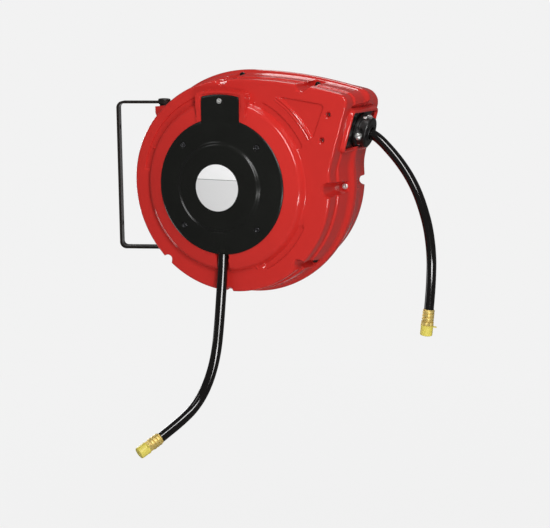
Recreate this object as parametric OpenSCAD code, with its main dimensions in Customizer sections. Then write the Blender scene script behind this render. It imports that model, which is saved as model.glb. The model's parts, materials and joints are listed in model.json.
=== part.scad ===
// Wall-hung spring hose reel: a closed two-half case that swings on a steel U bracket. Inside it a
// sprung drum winds the delivery hose, which leaves through a roller guide in the case's snout.
//
// Bracket frame: X away from the wall, Y backwards, Z up. The origin lies on the bracket's wall
// face, midway between its fixing holes.
// Case frame: the drum's axis is Y, its joint plane is Y = 0, X points at the snout.
// Mouth frame: X out of the mouth along the hose, Y as in the case, Z up along the mouth's face.

/* [Bracket] */
// Overall height of the U bracket
bracket_h = 245; // [243:1:260]
// Width of the flat bar
bar_w = 20; // [16:1:24]
// Thickness of the flat bar
bar_t = 4; // [3:0.5:5]
// Outer bend radius of the bar
bend_r = 11; // [8:1:16]
// Distance from the wall face to the swing axis
pivot_reach = 78; // [76:1:110]
// Distance between the two fixing holes
fixing_gap = 160; // [100:5:190]
// Diameter of a fixing hole
fixing_d = 8.5; // [5:0.5:10]
// Angle of the case to the bracket when at rest
rest_swing = 20; // [0:1:35]
// Height of the bracket's middle above the drum's axis
reel_drop = 2; // [0:0.5:4]
// Diameter of a swing pin
pivot_d = 10; // [8:0.5:12]
// Wall of a swing bush
bush_wall = 3; // [2:0.5:4]
// Length of a swing bush
bush_len = 18; // [14:1:20]
// Thickness of a swing washer
washer_t = 1.5; // [1:0.25:2]

/* [Case] */
// Radius of the case at its joint
case_r = 180; // [178:1:188]
// Depth of one half, from the joint to its face
case_half = 79; // [78:1:84]
// Wall of the case mouldings
wall = 3.2; // [2.6:0.1:3.6]
// Radius of the arched top of the snout
arch_r = 670; // [600:10:800]
// Radius of the snout's corner
corner_r = 14; // [8:1:18]
// Width of the flange on each side of the joint
flange_w = 5; // [4:0.5:8]
// Depth of the outer band behind the flange
band_depth = 49; // [44:1:54]
// Radius of the raised ring round the cover
ring_r = 131; // [128:1:134]
// Height of the raised ring's edge above the face
ring_rise = 9; // [7:0.5:11]
// Width of the shallow arc panels outside the ring
arc_panel_w = 15; // [10:1:16]
// Depth of the sunk panels in the face
panel_sink = 1.4; // [0.8:0.2:1.8]
// Radius of a screw well
well_r = 7; // [6:0.5:7.5]

/* [Front cover] */
// Radius of the cover
cover_r = 105; // [102:1:108]
// Thickness of the cover
cover_t = 2.5; // [2:0.25:3]
// Height of the cover's rim above the case's face
cover_stand = 18; // [17:0.5:20]
// Height of the cover's middle above its rim
cover_crown = 10.7; // [9.5:0.1:12]
// Width of the cover's tab
tab_w = 64; // [56:1:68]
// Distance from the drum's axis to the top of the tab
tab_top = 141; // [138:1:143]
// Distance of each cover screw from the cover's middle lines
cover_screw = 62.5; // [60:0.5:64]
// Radius of the label plate
label_r = 36.7; // [30:0.1:40]

/* [Drum] */
// Width between the drum's flanges
drum_w = 92; // [88:1:94]
// Thickness of a flange
flange_t = 3; // [2.5:0.5:3.5]
// Radius of the flanges
flange_r = 146; // [142:1:147]
// Outer radius of the drum's core
core_r = 68; // [62:1:72]
// Wall of the drum's core
core_wall = 4; // [3:0.5:5]
// Radius of the full turns wound on the drum
pack_r = 125; // [118:1:126]
// Number of turns side by side on the drum
turns_wide = 6; // [5:1:6]
// Radius of the fixed axle
axle_r = 10; // [8:0.5:11]
// Bore radius of the hollow spindle
spindle_bore_r = 5; // [4:0.5:5.5]
// Inner radius of the spring box
box_r = 77; // [74:1:78]
// Depth of the spring box
box_depth = 25; // [22:1:26]
// Number of coils in the power spring
spring_coils = 8; // [5:1:10]
// Thickness of the spring strip
strip_t = 1.4; // [0.8:0.2:2]
// Number of notches in the latch ring
notch_count = 4; // [2:1:6]

/* [Hose guide] */
// Distance of the mouth beyond the joint circle
mouth_out = 4; // [2:1:6]
// Height of the mouth's centre above the drum's axis
mouth_z = 87; // [84:1:90]
// Width of the guide plate
plate_w = 104; // [98:1:108]
// Height of the guide plate
plate_h = 57; // [54:1:60]
// Thickness of the guide plate
plate_t = 4; // [3:0.5:5]
// Radius of a guide roller
roller_r = 10; // [9:0.5:11]
// Distance of the rollers behind the guide plate
roller_back = 27; // [25:1:30]
// Diameter of a roller pin
roller_pin_d = 5; // [4:0.5:6]
// Radius of the hose stop
stop_r = 24; // [23:0.5:27]
// Length of the hose stop
stop_len = 19; // [19:1:26]
// Distance of each clamp screw from the hose's centre
stop_screw = 19.5; // [18:0.5:20]

/* [Hoses] */
// Outer diameter of the delivery hose
hose_d = 15; // [14:0.5:15.5]
// Outer diameter of the supply hose
supply_d = 16; // [15:0.5:16.5]
// Bore of both hoses
hose_bore = 10; // [8:0.5:10.5]
// Length of a hose ferrule
ferrule_len = 19.5; // [16:0.5:24]
// Number of ribs on a ferrule
ferrule_ribs = 4; // [2:1:5]
// Distance across the flats of a hose fitting
hex_af = 17; // [15:0.5:18]
// Length of a fitting's hexagon
hex_len = 5.5; // [4:0.5:8]
// Diameter of a fitting's thread
thread_d = 16.6; // [13:0.1:16.8]
// Length of a fitting's thread
thread_len = 13.5; // [10:0.5:15]
// Wall of a cap
cap_wall = 1.2; // [1:0.1:2]

/* [Hidden] */
$fn = 96;

// Clearances: a running fit, a slip fit and the gap between flat faces that pass each other
run_fit = 0.05;
slip = 0.15;
pass_gap = 0.3;

// Middle of the case's round part, and the depths of its parts along Y
case_cx = 6;
case_cz = 0.4;
face_y = -case_half;
rim_y = face_y - cover_stand;
seat_y = rim_y + cover_t;
ring_y = face_y - ring_rise;
rear_y = case_half + ring_rise;

// How far each step of the case's side lies inside the flange
flare_inset = 4;
band_inset = 9;
waist_inset = 13;
face_inset = 16;
edge_depth = 4;
// How the snout's arch shifts and drops with the inset
arch_shift = 1.33;
arch_drop = 0.95;
arch_cx = 8;
arch_top = case_cz + case_r - 4.4;
// How far the mouth's line draws back with the inset
mouth_draw = 0.65;
mouth_lip = 6;

// Well screws: four round the case, one over the drum and one in the snout
well_ring = case_r - 12.5;
well_angles = [0, -45, -92, -135, 92];
snout_well = [128, 154.5];
well_spots = concat([for (a = well_angles)
    [case_cx + well_ring * cos(a), case_cz + well_ring * sin(a)]], [snout_well]);
well_end = 14;
screw_r = 2.5;
screw_grip = well_end - 3;

// Swing axis, and the heights of the arms' inner faces, in the case frame
pivot_x = case_cx - case_r + 24;
arm_up = bracket_h / 2 - bar_t + reel_drop;
arm_down = bracket_h / 2 - bar_t - reel_drop;
bush_r = pivot_d / 2 + bush_wall;
lug_half = bush_r + 5;

// The delivery hose leaves the full turns along a tangent that runs out through the mouth
hose_r = hose_d / 2;
run_r = pack_r + hose_r + pass_gap;
mouth_x = case_cx + case_r + mouth_out;
mouth_dist = norm([mouth_x, mouth_z]);
mouth_tilt = asin(run_r / mouth_dist) - atan2(mouth_z, mouth_x);
run_len = sqrt(mouth_dist * mouth_dist - run_r * run_r);
roller_off = hose_r + 2 + roller_r;
stop_gap = 0.5;
stop_end = stop_gap + stop_len;

// Depths along the drum
drum_y = drum_w / 2;
drum_face = drum_y + flange_t;
box_y = drum_face + box_depth;
lid_t = 2;
spindle_r = 9;
journal_r = 12;
bearing_r = journal_r + 4;
floor_y = seat_y + 22.5;
hub_len = 12;
lead_y = rim_y + supply_d / 2;
lead_end_z = -104;
elbow_z = -18.5;
barb_len = 25;

// Latch ring and pawl
latch_r = 90;
latch_y = [drum_face, drum_face + 8];
notch_w = 15;
notch_deep = 6;
pawl_angle = 225;
pawl_lag = 17;
pawl_r = 106;
pawl_pin_r = 3;
pawl_y = [drum_face + 1.5, drum_face + 7.5];

// Routes of the free hoses, as [distance out, height] in the upright plane that each hangs in
outlet_route = [[206.3, 82.3], [212.7, 79.4], [218.7, 75.8], [224.3, 71.6], [229.5, 67],
    [235.5, 61.2], [241.6, 55], [247.9, 48.3], [254, 41.3], [260.3, 33.4], [267, 24.3],
    [273.5, 14.2], [280, 2.8], [286, -9.8], [291.5, -23.5], [296.3, -37.5], [300.3, -51], [303.5, -65], [306, -80],
    [307.9, -96], [308.9, -112], [309, -128], [308.7, -145], [307.9, -163], [306.6, -184]];
outlet_dip = 95;
inlet_route = [[0, -104], [1, -125], [2.7, -148], [4.7, -170], [7.2, -198], [9.8, -223],
    [13, -248], [17, -268], [22, -285.5], [29, -303.5], [38, -320.5], [49, -335.5],
    [62, -348.2], [77, -358.6], [92, -367.4], [107, -375.4], [118.5, -381.5]];
inlet_heading = -121;
inlet_dip = 25;
hose_sides = 12;

black = [0.12, 0.12, 0.11];
red = [0.78, 0.19, 0.17];
steel = [0.62, 0.63, 0.65];
brass = [0.83, 0.68, 0.36];

// ---------- placing ----------

// From the case frame to the bracket frame, at rest
module on_case() {
    translate([pivot_reach, 0, -reel_drop]) rotate([0, 0, -rest_swing]) translate([-pivot_x, 0, 0])
        children();
}

// From the mouth frame to the case frame
module on_mouth() {
    translate([mouth_x, 0, mouth_z]) rotate([0, mouth_tilt, 0]) children();
}

// A flat shape drawn in X and Z, thick from y0 to y1
module slab(y0, y1) {
    translate([0, y1, 0]) rotate([90, 0, 0]) linear_extrude(y1 - y0) children();
}

// A round bar along Y at [x, z]
module rod_y(r, y0, y1, at = [0, 0]) {
    translate([at[0], y1, at[1]]) rotate([90, 0, 0]) cylinder(r = r, h = y1 - y0);
}

// A tube along Y at [x, z]
module tube_y(outer, inner, y0, y1, at = [0, 0]) {
    difference() {
        rod_y(outer, y0, y1, at);
        rod_y(inner, y0 - 1, y1 + 1, at);
    }
}

// A shape turned about the drum's axis, from [radius, Y] points
module turned(points) {
    rotate([90, 0, 0]) rotate_extrude() polygon([for (p = points) [p[0], -p[1]]]);
}

// A round bar along the mouth's X
module rod_out(r, x0, x1) {
    translate([x0, 0, 0]) rotate([0, 90, 0]) cylinder(r = r, h = x1 - x0);
}

// Points of an arc about c from angle a0 to a1
function arc_points(c, r, a0, a1, steps) =
    [for (i = [0 : steps]) let (a = a0 + (a1 - a0) * i / steps) c + r * [cos(a), sin(a)]];

// ---------- bracket ----------

module bar_side() {
    end_x = pivot_reach + bar_w / 2;
    function bend(x, r) = concat(
        arc_points([x + r, bracket_h / 2 - x - r], r, 90, 180, 8),
        arc_points([x + r, x + r - bracket_h / 2], r, 180, 270, 8));
    outer = concat([[end_x, bracket_h / 2]], bend(0, bend_r), [[end_x, -bracket_h / 2]]);
    inner = concat([[end_x + 1, bracket_h / 2 - bar_t]], bend(bar_t, bend_r - bar_t),
        [[end_x + 1, bar_t - bracket_h / 2]]);
    difference() {
        polygon(outer);
        polygon(inner);
    }
}

module bar_plan() {
    tip = arc_points([pivot_reach, 0], bar_w / 2, 90, -90, 12);
    polygon(concat([[-1, bar_w / 2]], tip, [[-1, -bar_w / 2]]));
}

module wall_bracket() color(black) {
    difference() {
        intersection() {
            slab(-bar_w / 2 - 1, bar_w / 2 + 1) bar_side();
            translate([0, 0, -bracket_h]) linear_extrude(2 * bracket_h) bar_plan();
        }
        for (z = [-1, 1] * fixing_gap / 2)
            translate([-1, 0, z]) rotate([0, 90, 0]) cylinder(d = fixing_d, h = bar_t + 2);
        translate([pivot_reach, 0, -bracket_h]) cylinder(r = pivot_d / 2 + run_fit, h = 2 * bracket_h);
    }
}

// Children are drawn upwards from the inner face of the upper arm, then of the lower arm
module at_arms() {
    for (side = [0, 1])
        translate([pivot_reach, 0, 0]) mirror([0, 0, side])
            translate([0, 0, bracket_h / 2 - bar_t]) children();
}

module pivot_pins() color(black) at_arms() {
    translate([0, 0, 1 - washer_t - bush_len]) cylinder(d = pivot_d, h = bar_t + washer_t + bush_len);
    translate([0, 0, bar_t]) cylinder(r = pivot_d / 2 + 4.5, h = 2.5);
}

module pivot_washers() color(black) at_arms() {
    translate([0, 0, -washer_t]) difference() {
        cylinder(r = bush_r + 1.5, h = washer_t);
        translate([0, 0, -1]) cylinder(r = pivot_d / 2 + run_fit, h = washer_t + 2);
    }
}

module pivot_bushes() color("ivory") at_arms() {
    translate([0, 0, -washer_t - bush_len]) difference() {
        cylinder(r = bush_r, h = bush_len);
        translate([0, 0, -1]) cylinder(r = pivot_d / 2 + run_fit, h = bush_len + 2);
    }
}

// ---------- case ----------

// Corner points of the snout, for a step of the side that lies inset inside the flange and whose
// mouth face stands lip in front of the guide plate
function snout_points(inset, lip) =
    let (
        out = [cos(mouth_tilt), -sin(mouth_tilt)],
        up = [sin(mouth_tilt), cos(mouth_tilt)],
        mouth = [mouth_x, mouth_z],
        arch_c = [arch_cx + arch_shift * inset, arch_top - arch_drop * inset - arch_r],
        line = mouth + (lip - corner_r) * out - arch_c,
        reach = arch_r - corner_r - 0.4,
        along = line * up,
        rise = -along + sqrt(along * along - line * line + reach * reach),
        corner = mouth + (lip - corner_r) * out + rise * up,
        ray = corner - arch_c)
    concat(
        [[case_cx + 8, case_cz], [case_cx + 8, case_cz + 2 * case_r]],
        arc_points(corner, corner_r, atan2(ray[1], ray[0]), -mouth_tilt, 6),
        [mouth + lip * out - 36 * up,
         [case_cx, case_cz] + (case_r - inset - 3) * [cos(7), sin(7)]]);

// Side view of one step of the case
module outline(inset, lip) {
    union() {
        translate([case_cx, case_cz]) circle(r = case_r - inset, $fn = 180);
        intersection() {
            translate([arch_cx + arch_shift * inset, arch_top - arch_drop * inset - arch_r])
                circle(r = arch_r, $fn = 360);
            polygon(snout_points(inset, lip));
        }
    }
}

module step(inset) outline(inset, mouth_lip - mouth_draw * inset);

// One half of the case as a solid block, in front of the joint
module half_block() {
    slab(-flange_w, 0) step(0);
    slab(-flange_w - 4, -flange_w) step(flare_inset);
    slab(-band_depth, -flange_w - 4) step(band_inset);
    slab(face_y + edge_depth, -band_depth) step(waist_inset);
    slab(face_y, face_y + edge_depth) step(face_inset);
}

// What is hollow in one half: bosses of radius boss are left standing at the wells
module half_hollow(boss) {
    slab(wall - band_depth, 1) hollow_side(band_inset + wall, boss);
    slab(face_y + wall, wall - band_depth + 0.01) hollow_side(face_inset + wall - edge_depth + 0.5, boss);
}

module hollow_side(inset, boss) {
    difference() {
        outline(inset, -8);
        for (spot = well_spots) translate(spot) circle(r = boss);
        for (side = [-1, 1]) translate(roller_spot(side)) circle(r = roller_pin_d / 2 + 4);
    }
}

// Centre of a roller, as [x, z] in the case frame
function roller_spot(side) =
    [mouth_x, mouth_z] - roller_back * [cos(mouth_tilt), -sin(mouth_tilt)]
    + side * roller_off * [sin(mouth_tilt), cos(mouth_tilt)];

// Half of each swing lug: it closes on the bush
module lug_side(arm) {
    top = arm - washer_t - pass_gap;
    polygon([[pivot_x - lug_half, top], [pivot_x - lug_half, top - 15], [pivot_x - 1, top - 30],
        [pivot_x + 34, top - 24], [pivot_x + 20, top]]);
}

module lugs(y0, y1) {
    slab(y0, y1) lug_side(arm_up);
    mirror([0, 0, 1]) slab(y0, y1) lug_side(arm_down);
}

module bush_holes() {
    for (end = [[0, arm_up], [1, arm_down]])
        mirror([0, 0, end[0]]) translate([pivot_x, 0, end[1] - washer_t - bush_len - slip])
            cylinder(r = bush_r + run_fit, h = bush_len + 20);
}

// Frame round the mouth, and the opening and rebate for the guide plate
module mouth_frame() {
    on_mouth() translate([-9, -plate_w / 2 - 4, -plate_h / 2 - 4.5])
        cube([13.5, plate_w + 8, plate_h + 9]);
}

module mouth_cut() {
    on_mouth() {
        translate([-30, -plate_w / 2 + 4, -plate_h / 2 + 4]) cube([60, plate_w - 8, plate_h - 8]);
        translate([-plate_t - slip, -plate_w / 2 - slip, -plate_h / 2 - slip])
            cube([40, plate_w + 2 * slip, plate_h + 2 * slip]);
    }
}

// The half space in front of the joint
module front_side() {
    translate([-400, -200, -400]) cube([800, 200, 800]);
}

// Roller pin bosses stop short of the rollers
module roller_boss_cut() {
    for (side = [-1, 1]) rod_y(roller_pin_d / 2 + 4.01, -plate_w / 2 + 3, 1, roller_spot(side));
}

// A part of a ring in the face, between two radii and two angles, with round ends
module arc_panel(r, w, a0, a1) {
    mid = r + w / 2;
    polygon(concat(
        arc_points([0, 0], r + w, a0, a1, 16),
        arc_points(mid * [cos(a1), sin(a1)], w / 2, a1, a1 + 180, 6),
        arc_points([0, 0], r, a1, a0, 16),
        arc_points(mid * [cos(a0), sin(a0)], w / 2, a0 + 180, a0 + 360, 6)));
}

// Sunk panels of the face: three arcs outside the ring and a three-cornered one in the snout
module face_panels() {
    arc_r = ring_r + 3;
    arc_panel(arc_r, arc_panel_w, 27, 63);
    arc_panel(arc_r, arc_panel_w, -60, -23);
    arc_panel(arc_r, arc_panel_w, 108, 172);
    difference() {
        polygon([[87, 135], [164, 125], [148, 80]]);
        circle(r = 161, $fn = 180);
    }
}

// Raised ring and the pocket under the cover, turned about the drum's axis
module cover_ring() {
    pocket_r = cover_r - 8;
    turned([[pocket_r, seat_y], [cover_r - 1, seat_y], [ring_r, ring_y], [ring_r + 2.5, face_y],
        [ring_r + 2.5, face_y + wall], [ring_r - 1, face_y + wall], [ring_r - wall, ring_y + 2.7],
        [cover_r - 1, seat_y + wall], [pocket_r + wall, seat_y + wall],
        [pocket_r + wall, floor_y + wall], [bearing_r, floor_y + wall], [bearing_r, floor_y],
        [pocket_r, floor_y]]);
}

// Raised block that carries the cover's tab
module tab_block() {
    half = tab_w / 2 + 5;
    translate([-half, seat_y, cover_r - 10])
        cube([2 * half, face_y + wall - seat_y, tab_top + 4 - cover_r + 10]);
}

module tab_hollow() {
    half = tab_w / 2 + 5 - wall;
    translate([-half, seat_y + wall, cover_r])
        cube([2 * half, case_half, tab_top + 4 - cover_r - wall]);
}

// Trough that lets the supply hose out under the cover
module hose_trough(r, y1, z0, z1) {
    translate([-r, rim_y - 1, z0]) cube([2 * r, y1 - rim_y + 1, z1 - z0]);
}

cover_screw_spots = [for (x = [-1, 1], z = [-1, 1]) cover_screw * [x, z]];
tab_screw_spot = [0, tab_top - 10];

module front_shell() color(red) on_case() {
    trough_r = supply_d / 2 + 1.5;
    trough_y = lead_y + supply_d / 2 + 0.5;
    difference() {
        union() {
            difference() {
                union() {
                    half_block();
                    intersection() {
                        mouth_frame();
                        front_side();
                    }
                }
                half_hollow(well_r + wall);
                rod_y(ring_r, face_y - 1, face_y + wall + 1);
                for (spot = well_spots) rod_y(well_r, face_y - 1, -well_end, spot);
                slab(face_y - 1, face_y + panel_sink) face_panels();
            }
            lugs(-lug_half, 0);
            difference() {
                union() {
                    cover_ring();
                    tab_block();
                    hose_trough(trough_r + wall, trough_y + wall, -ring_r + 3, -cover_r - pass_gap);
                }
                tab_hollow();
                rod_y(cover_r - 8, rim_y, floor_y);
                translate([0, 0, -2 * ring_r]) linear_extrude(1.02 * ring_r) square([60, 2 * -rim_y], center = true);
            }
            tube_y(bearing_r + 4, bearing_r, floor_y, floor_y + hub_len);
            for (spot = cover_screw_spots) rod_y(5, cover_under(norm(spot) + 5), floor_y + 1, spot);
            rod_y(5, seat_y, face_y + wall, tab_screw_spot);
        }
        hose_trough(trough_r, trough_y, -ring_r - 6, -cover_r + 12);
        for (spot = cover_screw_spots) rod_y(1.6, rim_y - 10, floor_y - 4, spot);
        rod_y(1.6, rim_y - 10, face_y - 2, tab_screw_spot);
        for (spot = well_spots) rod_y(screw_r + slip, face_y, 1, spot);
        for (side = [-1, 1]) {
            rod_y(roller_pin_d / 2 + 0.8, face_y - 1, face_y + 9, roller_spot(side));
            rod_y(roller_pin_d / 2 + run_fit, face_y - 1, 1, roller_spot(side));
        }
        roller_boss_cut();
        bush_holes();
        mouth_cut();
    }
}

module rear_shell() color(red) on_case() {
    hub_r = 24;
    difference() {
        union() {
            difference() {
                union() {
                    mirror([0, 1, 0]) half_block();
                    intersection() {
                        mouth_frame();
                        mirror([0, 1, 0]) front_side();
                    }
                }
                mirror([0, 1, 0]) half_hollow(well_r + wall);
                for (spot = well_spots) rod_y(well_r, well_end, case_half + 1, spot);
                rod_y(ring_r - wall, case_half - wall - 1, case_half + 1);
            }
            lugs(0, lug_half);
            turned([[hub_r, rear_y - wall - 6], [hub_r, rear_y - wall], [ring_r - 6, rear_y - wall],
                [ring_r - 2.5, case_half - wall], [ring_r + 2.5, case_half - wall],
                [ring_r + 2.5, case_half], [ring_r - 3, rear_y], [axle_r + run_fit, rear_y],
                [axle_r + run_fit, rear_y - wall - 6]]);
            for (spot = axle_screw_spots) rod_y(5, rear_y - wall - 6, rear_y - wall + 1, spot);
            rod_y(pawl_pin_r + 3, pawl_y[1] + 6, rear_y - wall + 1, pawl_spot);
        }
        for (spot = well_spots) rod_y(screw_r + run_fit, -1, screw_grip + 1, spot);
        for (spot = axle_screw_spots) rod_y(1.9, rear_y - wall - 7, rear_y + 1, spot);
        for (side = [-1, 1]) rod_y(roller_pin_d / 2 + run_fit, -1, case_half - 9, roller_spot(side));
        mirror([0, 1, 0]) roller_boss_cut();
        rod_y(pawl_pin_r + run_fit, 0, case_half - wall, pawl_spot);
        bush_holes();
        mouth_cut();
    }
}

module case_screws() color(steel) on_case() {
    for (spot = well_spots) {
        rod_y(screw_r, -well_end, screw_grip, spot);
        rod_y(4.5, -well_end - 3.5, -well_end, spot);
    }
}

// ---------- front cover ----------

// Y of the cover's front and back at a radius, on the cone between the rim and the crown
crown_r = 66;
cone_r = 70;
cone_rise = 0.47 * cover_crown;
function cover_front(r) = rim_y - cone_rise * (cover_r - r) / (cover_r - cone_r);
function cover_under(r) = cover_front(r) + cover_t;

module cover_tab() {
    corner = 6;
    half = tab_w / 2;
    shoulder = tab_top - 4;
    polygon(concat(
        [[half, cover_r - 20]],
        arc_points([half - corner, shoulder - corner], corner, 0, 70, 5),
        [[0, tab_top]],
        arc_points([corner - half, shoulder - corner], corner, 110, 180, 5),
        [[-half, cover_r - 20]]));
}

module front_cover() color(black) on_case() {
    crown_y = rim_y - cover_crown;
    arch_outer = supply_d / 2 + 0.5 + cover_t;
    difference() {
        union() {
            turned([[0, crown_y], [label_r + 3, crown_y], [crown_r, crown_y + 2],
                [cone_r, cover_front(cone_r)], [cover_r, rim_y], [cover_r, seat_y],
                [cone_r, cover_under(cone_r)], [crown_r, crown_y + 2 + cover_t],
                [label_r + 3, crown_y + cover_t], [0, crown_y + cover_t]]);
            difference() {
                slab(rim_y, seat_y) cover_tab();
                rod_y(cover_r - 1, rim_y - 1, seat_y + 1);
            }
            intersection() {
                translate([0, lead_y, -cover_r + 0.5]) cylinder(r = arch_outer, h = 22);
                translate([-20, rim_y - 20, -2 * cover_r]) cube([40, 20 + cover_t, 2 * cover_r]);
            }
        }
        translate([0, lead_y, -cover_r - 1]) cylinder(r = supply_d / 2 + 0.5, h = 27);
        for (spot = concat(cover_screw_spots, [tab_screw_spot])) rod_y(2.1, rim_y - 20, seat_y + 1, spot);
        for (spot = cover_screw_spots) rod_y(4.6, rim_y - 20, screw_seat, spot);
    }
}

// Seat of the cover screws' heads
screw_seat = cover_front(norm([cover_screw, cover_screw])) + 0.8;

module cover_screws() color(steel) on_case() {
    for (spot = cover_screw_spots) {
        rod_y(4, screw_seat - 2.4, screw_seat, spot);
        rod_y(1.55, screw_seat, floor_y - 5, spot);
    }
    rod_y(4, rim_y - 2.4, rim_y, tab_screw_spot);
    rod_y(1.55, rim_y, face_y - 3, tab_screw_spot);
}

module label_disc() color("gainsboro") on_case() {
    rod_y(label_r, rim_y - cover_crown - 0.8, rim_y - cover_crown);
}

// ---------- axle ----------

axle_plate_r = 45;
axle_plate_t = 3;
axle_screw_spots = [for (a = [45 : 90 : 315]) 34 * [cos(a), sin(a)]];
axle_end = drum_y - 5;
clip_y = drum_y - 2.5;

module axle_plate() color(black) on_case() {
    difference() {
        rod_y(axle_plate_r, rear_y, rear_y + axle_plate_t);
        rod_y(axle_r + run_fit, rear_y - 1, rear_y + 5);
        for (spot = axle_screw_spots) rod_y(2.1, rear_y - 1, rear_y + 5, spot);
    }
}

module axle_screws() color(steel) on_case() {
    for (spot = axle_screw_spots) {
        rod_y(1.85, rear_y - wall - 5, rear_y + axle_plate_t, spot);
        rod_y(4, rear_y + axle_plate_t, rear_y + axle_plate_t + 2.4, spot);
    }
}

module drum_axle() color(steel) on_case() {
    turned([[0, axle_end], [axle_r, axle_end], [axle_r, clip_y - 1.5], [axle_r - 1, clip_y - 1.5],
        [axle_r - 1, clip_y], [axle_r, clip_y], [axle_r, rear_y + axle_plate_t],
        [axle_r + 4, rear_y + axle_plate_t], [axle_r + 4, rear_y + axle_plate_t + 3],
        [0, rear_y + axle_plate_t + 3]]);
}

module axle_clip() color(steel) on_case() {
    tube_y(axle_r + 3, axle_r - 1 + run_fit, clip_y - 1.4, clip_y - 0.1);
}

module spring_arbor() color(steel) on_case() {
    tube_y(axle_r + 3, axle_r + run_fit, drum_face + 3, box_y - 0.5);
}

// ---------- inlet swivel ----------

elbow_y = [floor_y - 3.8, lead_y - 12];

module spindle_bearing() color("ivory") on_case() {
    tube_y(bearing_r - run_fit, journal_r + run_fit, floor_y - 2.5, floor_y + hub_len);
}

module inlet_elbow() color(brass) on_case() {
    difference() {
        union() {
            rod_y(spindle_r + 5, elbow_y[1], elbow_y[0]);
            translate([0, lead_y, elbow_z]) cylinder(r = 8, h = -elbow_z);
            translate([0, lead_y, elbow_z - barb_len]) cylinder(r = hose_bore / 2 - run_fit, h = barb_len + 2);
        }
        rod_y(spindle_r + run_fit, elbow_y[1] - 1, elbow_y[0] + 1);
        translate([0, lead_y, elbow_z - barb_len - 1]) cylinder(r = 3.5, h = barb_len - elbow_z);
    }
}

module inlet_clamp() color(steel) on_case() {
    translate([0, lead_y, elbow_z - 18]) difference() {
        union() {
            cylinder(r = supply_d / 2 + 1.2, h = 9);
            translate([-3.5, -supply_d / 2 - 4, 1]) cube([7, 5, 7]);
        }
        translate([0, 0, -1]) cylinder(r = supply_d / 2 + run_fit, h = 11);
    }
}

module inlet_lead() color(black) on_case() {
    translate([0, lead_y, lead_end_z]) difference() {
        cylinder(d = supply_d, h = elbow_z - lead_end_z);
        translate([0, 0, -1]) cylinder(d = hose_bore, h = elbow_z - lead_end_z + 2);
    }
}

// ---------- free hoses ----------

// A hose swept along a route of [out, height] points in the upright plane through its start,
// turned to heading; first and last are the dips of its two ends, in degrees below level
module hung_hose(route, d, first, last) {
    n = len(route);
    function dip(i) = i == 0 ? first : i == n - 1 ? last
        : let (step = route[i + 1] - route[i - 1]) atan2(-step[1], step[0]);
    points = [for (i = [0 : n - 1], k = [0 : hose_sides - 1])
        let (a = 360 * k / hose_sides, side = d / 2 * cos(a), lift = d / 2 * sin(a))
        [route[i][0] + lift * sin(dip(i)), side, route[i][1] + lift * cos(dip(i))]];
    function at(i, k) = i * hose_sides + k % hose_sides;
    skin = [for (i = [0 : n - 2], k = [0 : hose_sides - 1], half = [0, 1])
        half == 0 ? [at(i, k), at(i, k + 1), at(i + 1, k + 1)] : [at(i, k), at(i + 1, k + 1), at(i + 1, k)]];
    ends = [[for (k = [hose_sides - 1 : -1 : 0]) at(0, k)], [for (k = [0 : hose_sides - 1]) at(n - 1, k)]];
    polyhedron(points, concat(skin, ends));
}

function route_length(route) =
    let (n = len(route)) [for (i = 1, s = 0; i <= n; s = s + (i < n ? norm(route[i] - route[i - 1]) : 0),
        i = i + 1) s][n - 1];

// The delivery hose is gripped in the stop's inner part, and bends free in its flared outer part
grip_end = stop_gap + 9.5;
flare_r = hose_r + 2.7;
grip_face = [mouth_x + grip_end * cos(mouth_tilt), mouth_z - grip_end * sin(mouth_tilt)];
outlet_path = concat([grip_face], outlet_route);
echo(outlet_hose_length = route_length(outlet_path), inlet_hose_length = route_length(inlet_route));

// Frames at the far ends of the hoses, whose Z points along the hose
module at_outlet_end() {
    end = outlet_route[len(outlet_route) - 1];
    on_case() translate([end[0], 0, end[1]]) rotate([0, 90 + outlet_dip, 0]) children();
}

module at_inlet_end() {
    end = inlet_route[len(inlet_route) - 1];
    on_case() translate([0, lead_y, 0]) rotate([0, 0, inlet_heading]) translate([end[0], 0, end[1]])
        rotate([0, 90 + inlet_dip, 0]) children();
}

module outlet_hose() color(black) on_case() hung_hose(outlet_path, hose_d, mouth_tilt, outlet_dip);

module inlet_hose() color(black) on_case()
    translate([0, lead_y, 0]) rotate([0, 0, inlet_heading]) hung_hose(inlet_route, supply_d, 90, inlet_dip);

// Crimped ferrule with rolled ribs
module ferrule(d) {
    base = d / 2 + 0.5;
    pitch = ferrule_len / ferrule_ribs;
    ribs = [for (i = [0 : ferrule_ribs - 1]) each
        [[base, i * pitch], [base + 0.8, (i + 0.25) * pitch], [base + 0.8, (i + 0.65) * pitch],
         [base, (i + 0.9) * pitch]]];
    rotate_extrude() polygon(concat([[0, 0]], ribs, [[base, ferrule_len], [0, ferrule_len]]));
}

// Hexagon and male pipe thread beyond the ferrule
module fitting() {
    translate([0, 0, ferrule_len]) difference() {
        union() {
            cylinder(d = hex_af / cos(30), h = hex_len, $fn = 6);
            cylinder(d = thread_d, h = hex_len + thread_len);
        }
        translate([0, 0, 2]) cylinder(r = 4, h = hex_len + thread_len);
    }
}

// Push-on cap with a pull tab
module cap() {
    outer = thread_d / 2 + run_fit + cap_wall;
    depth = thread_len + 0.5;
    translate([0, 0, ferrule_len + hex_len + pass_gap]) {
        difference() {
            cylinder(r = outer, h = depth + cap_wall + 1);
            translate([0, 0, -1]) cylinder(r = thread_d / 2 + run_fit, h = depth + 1);
        }
        translate([0, -2, 0]) difference() {
            translate([outer - 0.5, 0, 0.3]) cube([6, 4, 1.3]);
        }
    }
}

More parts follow.
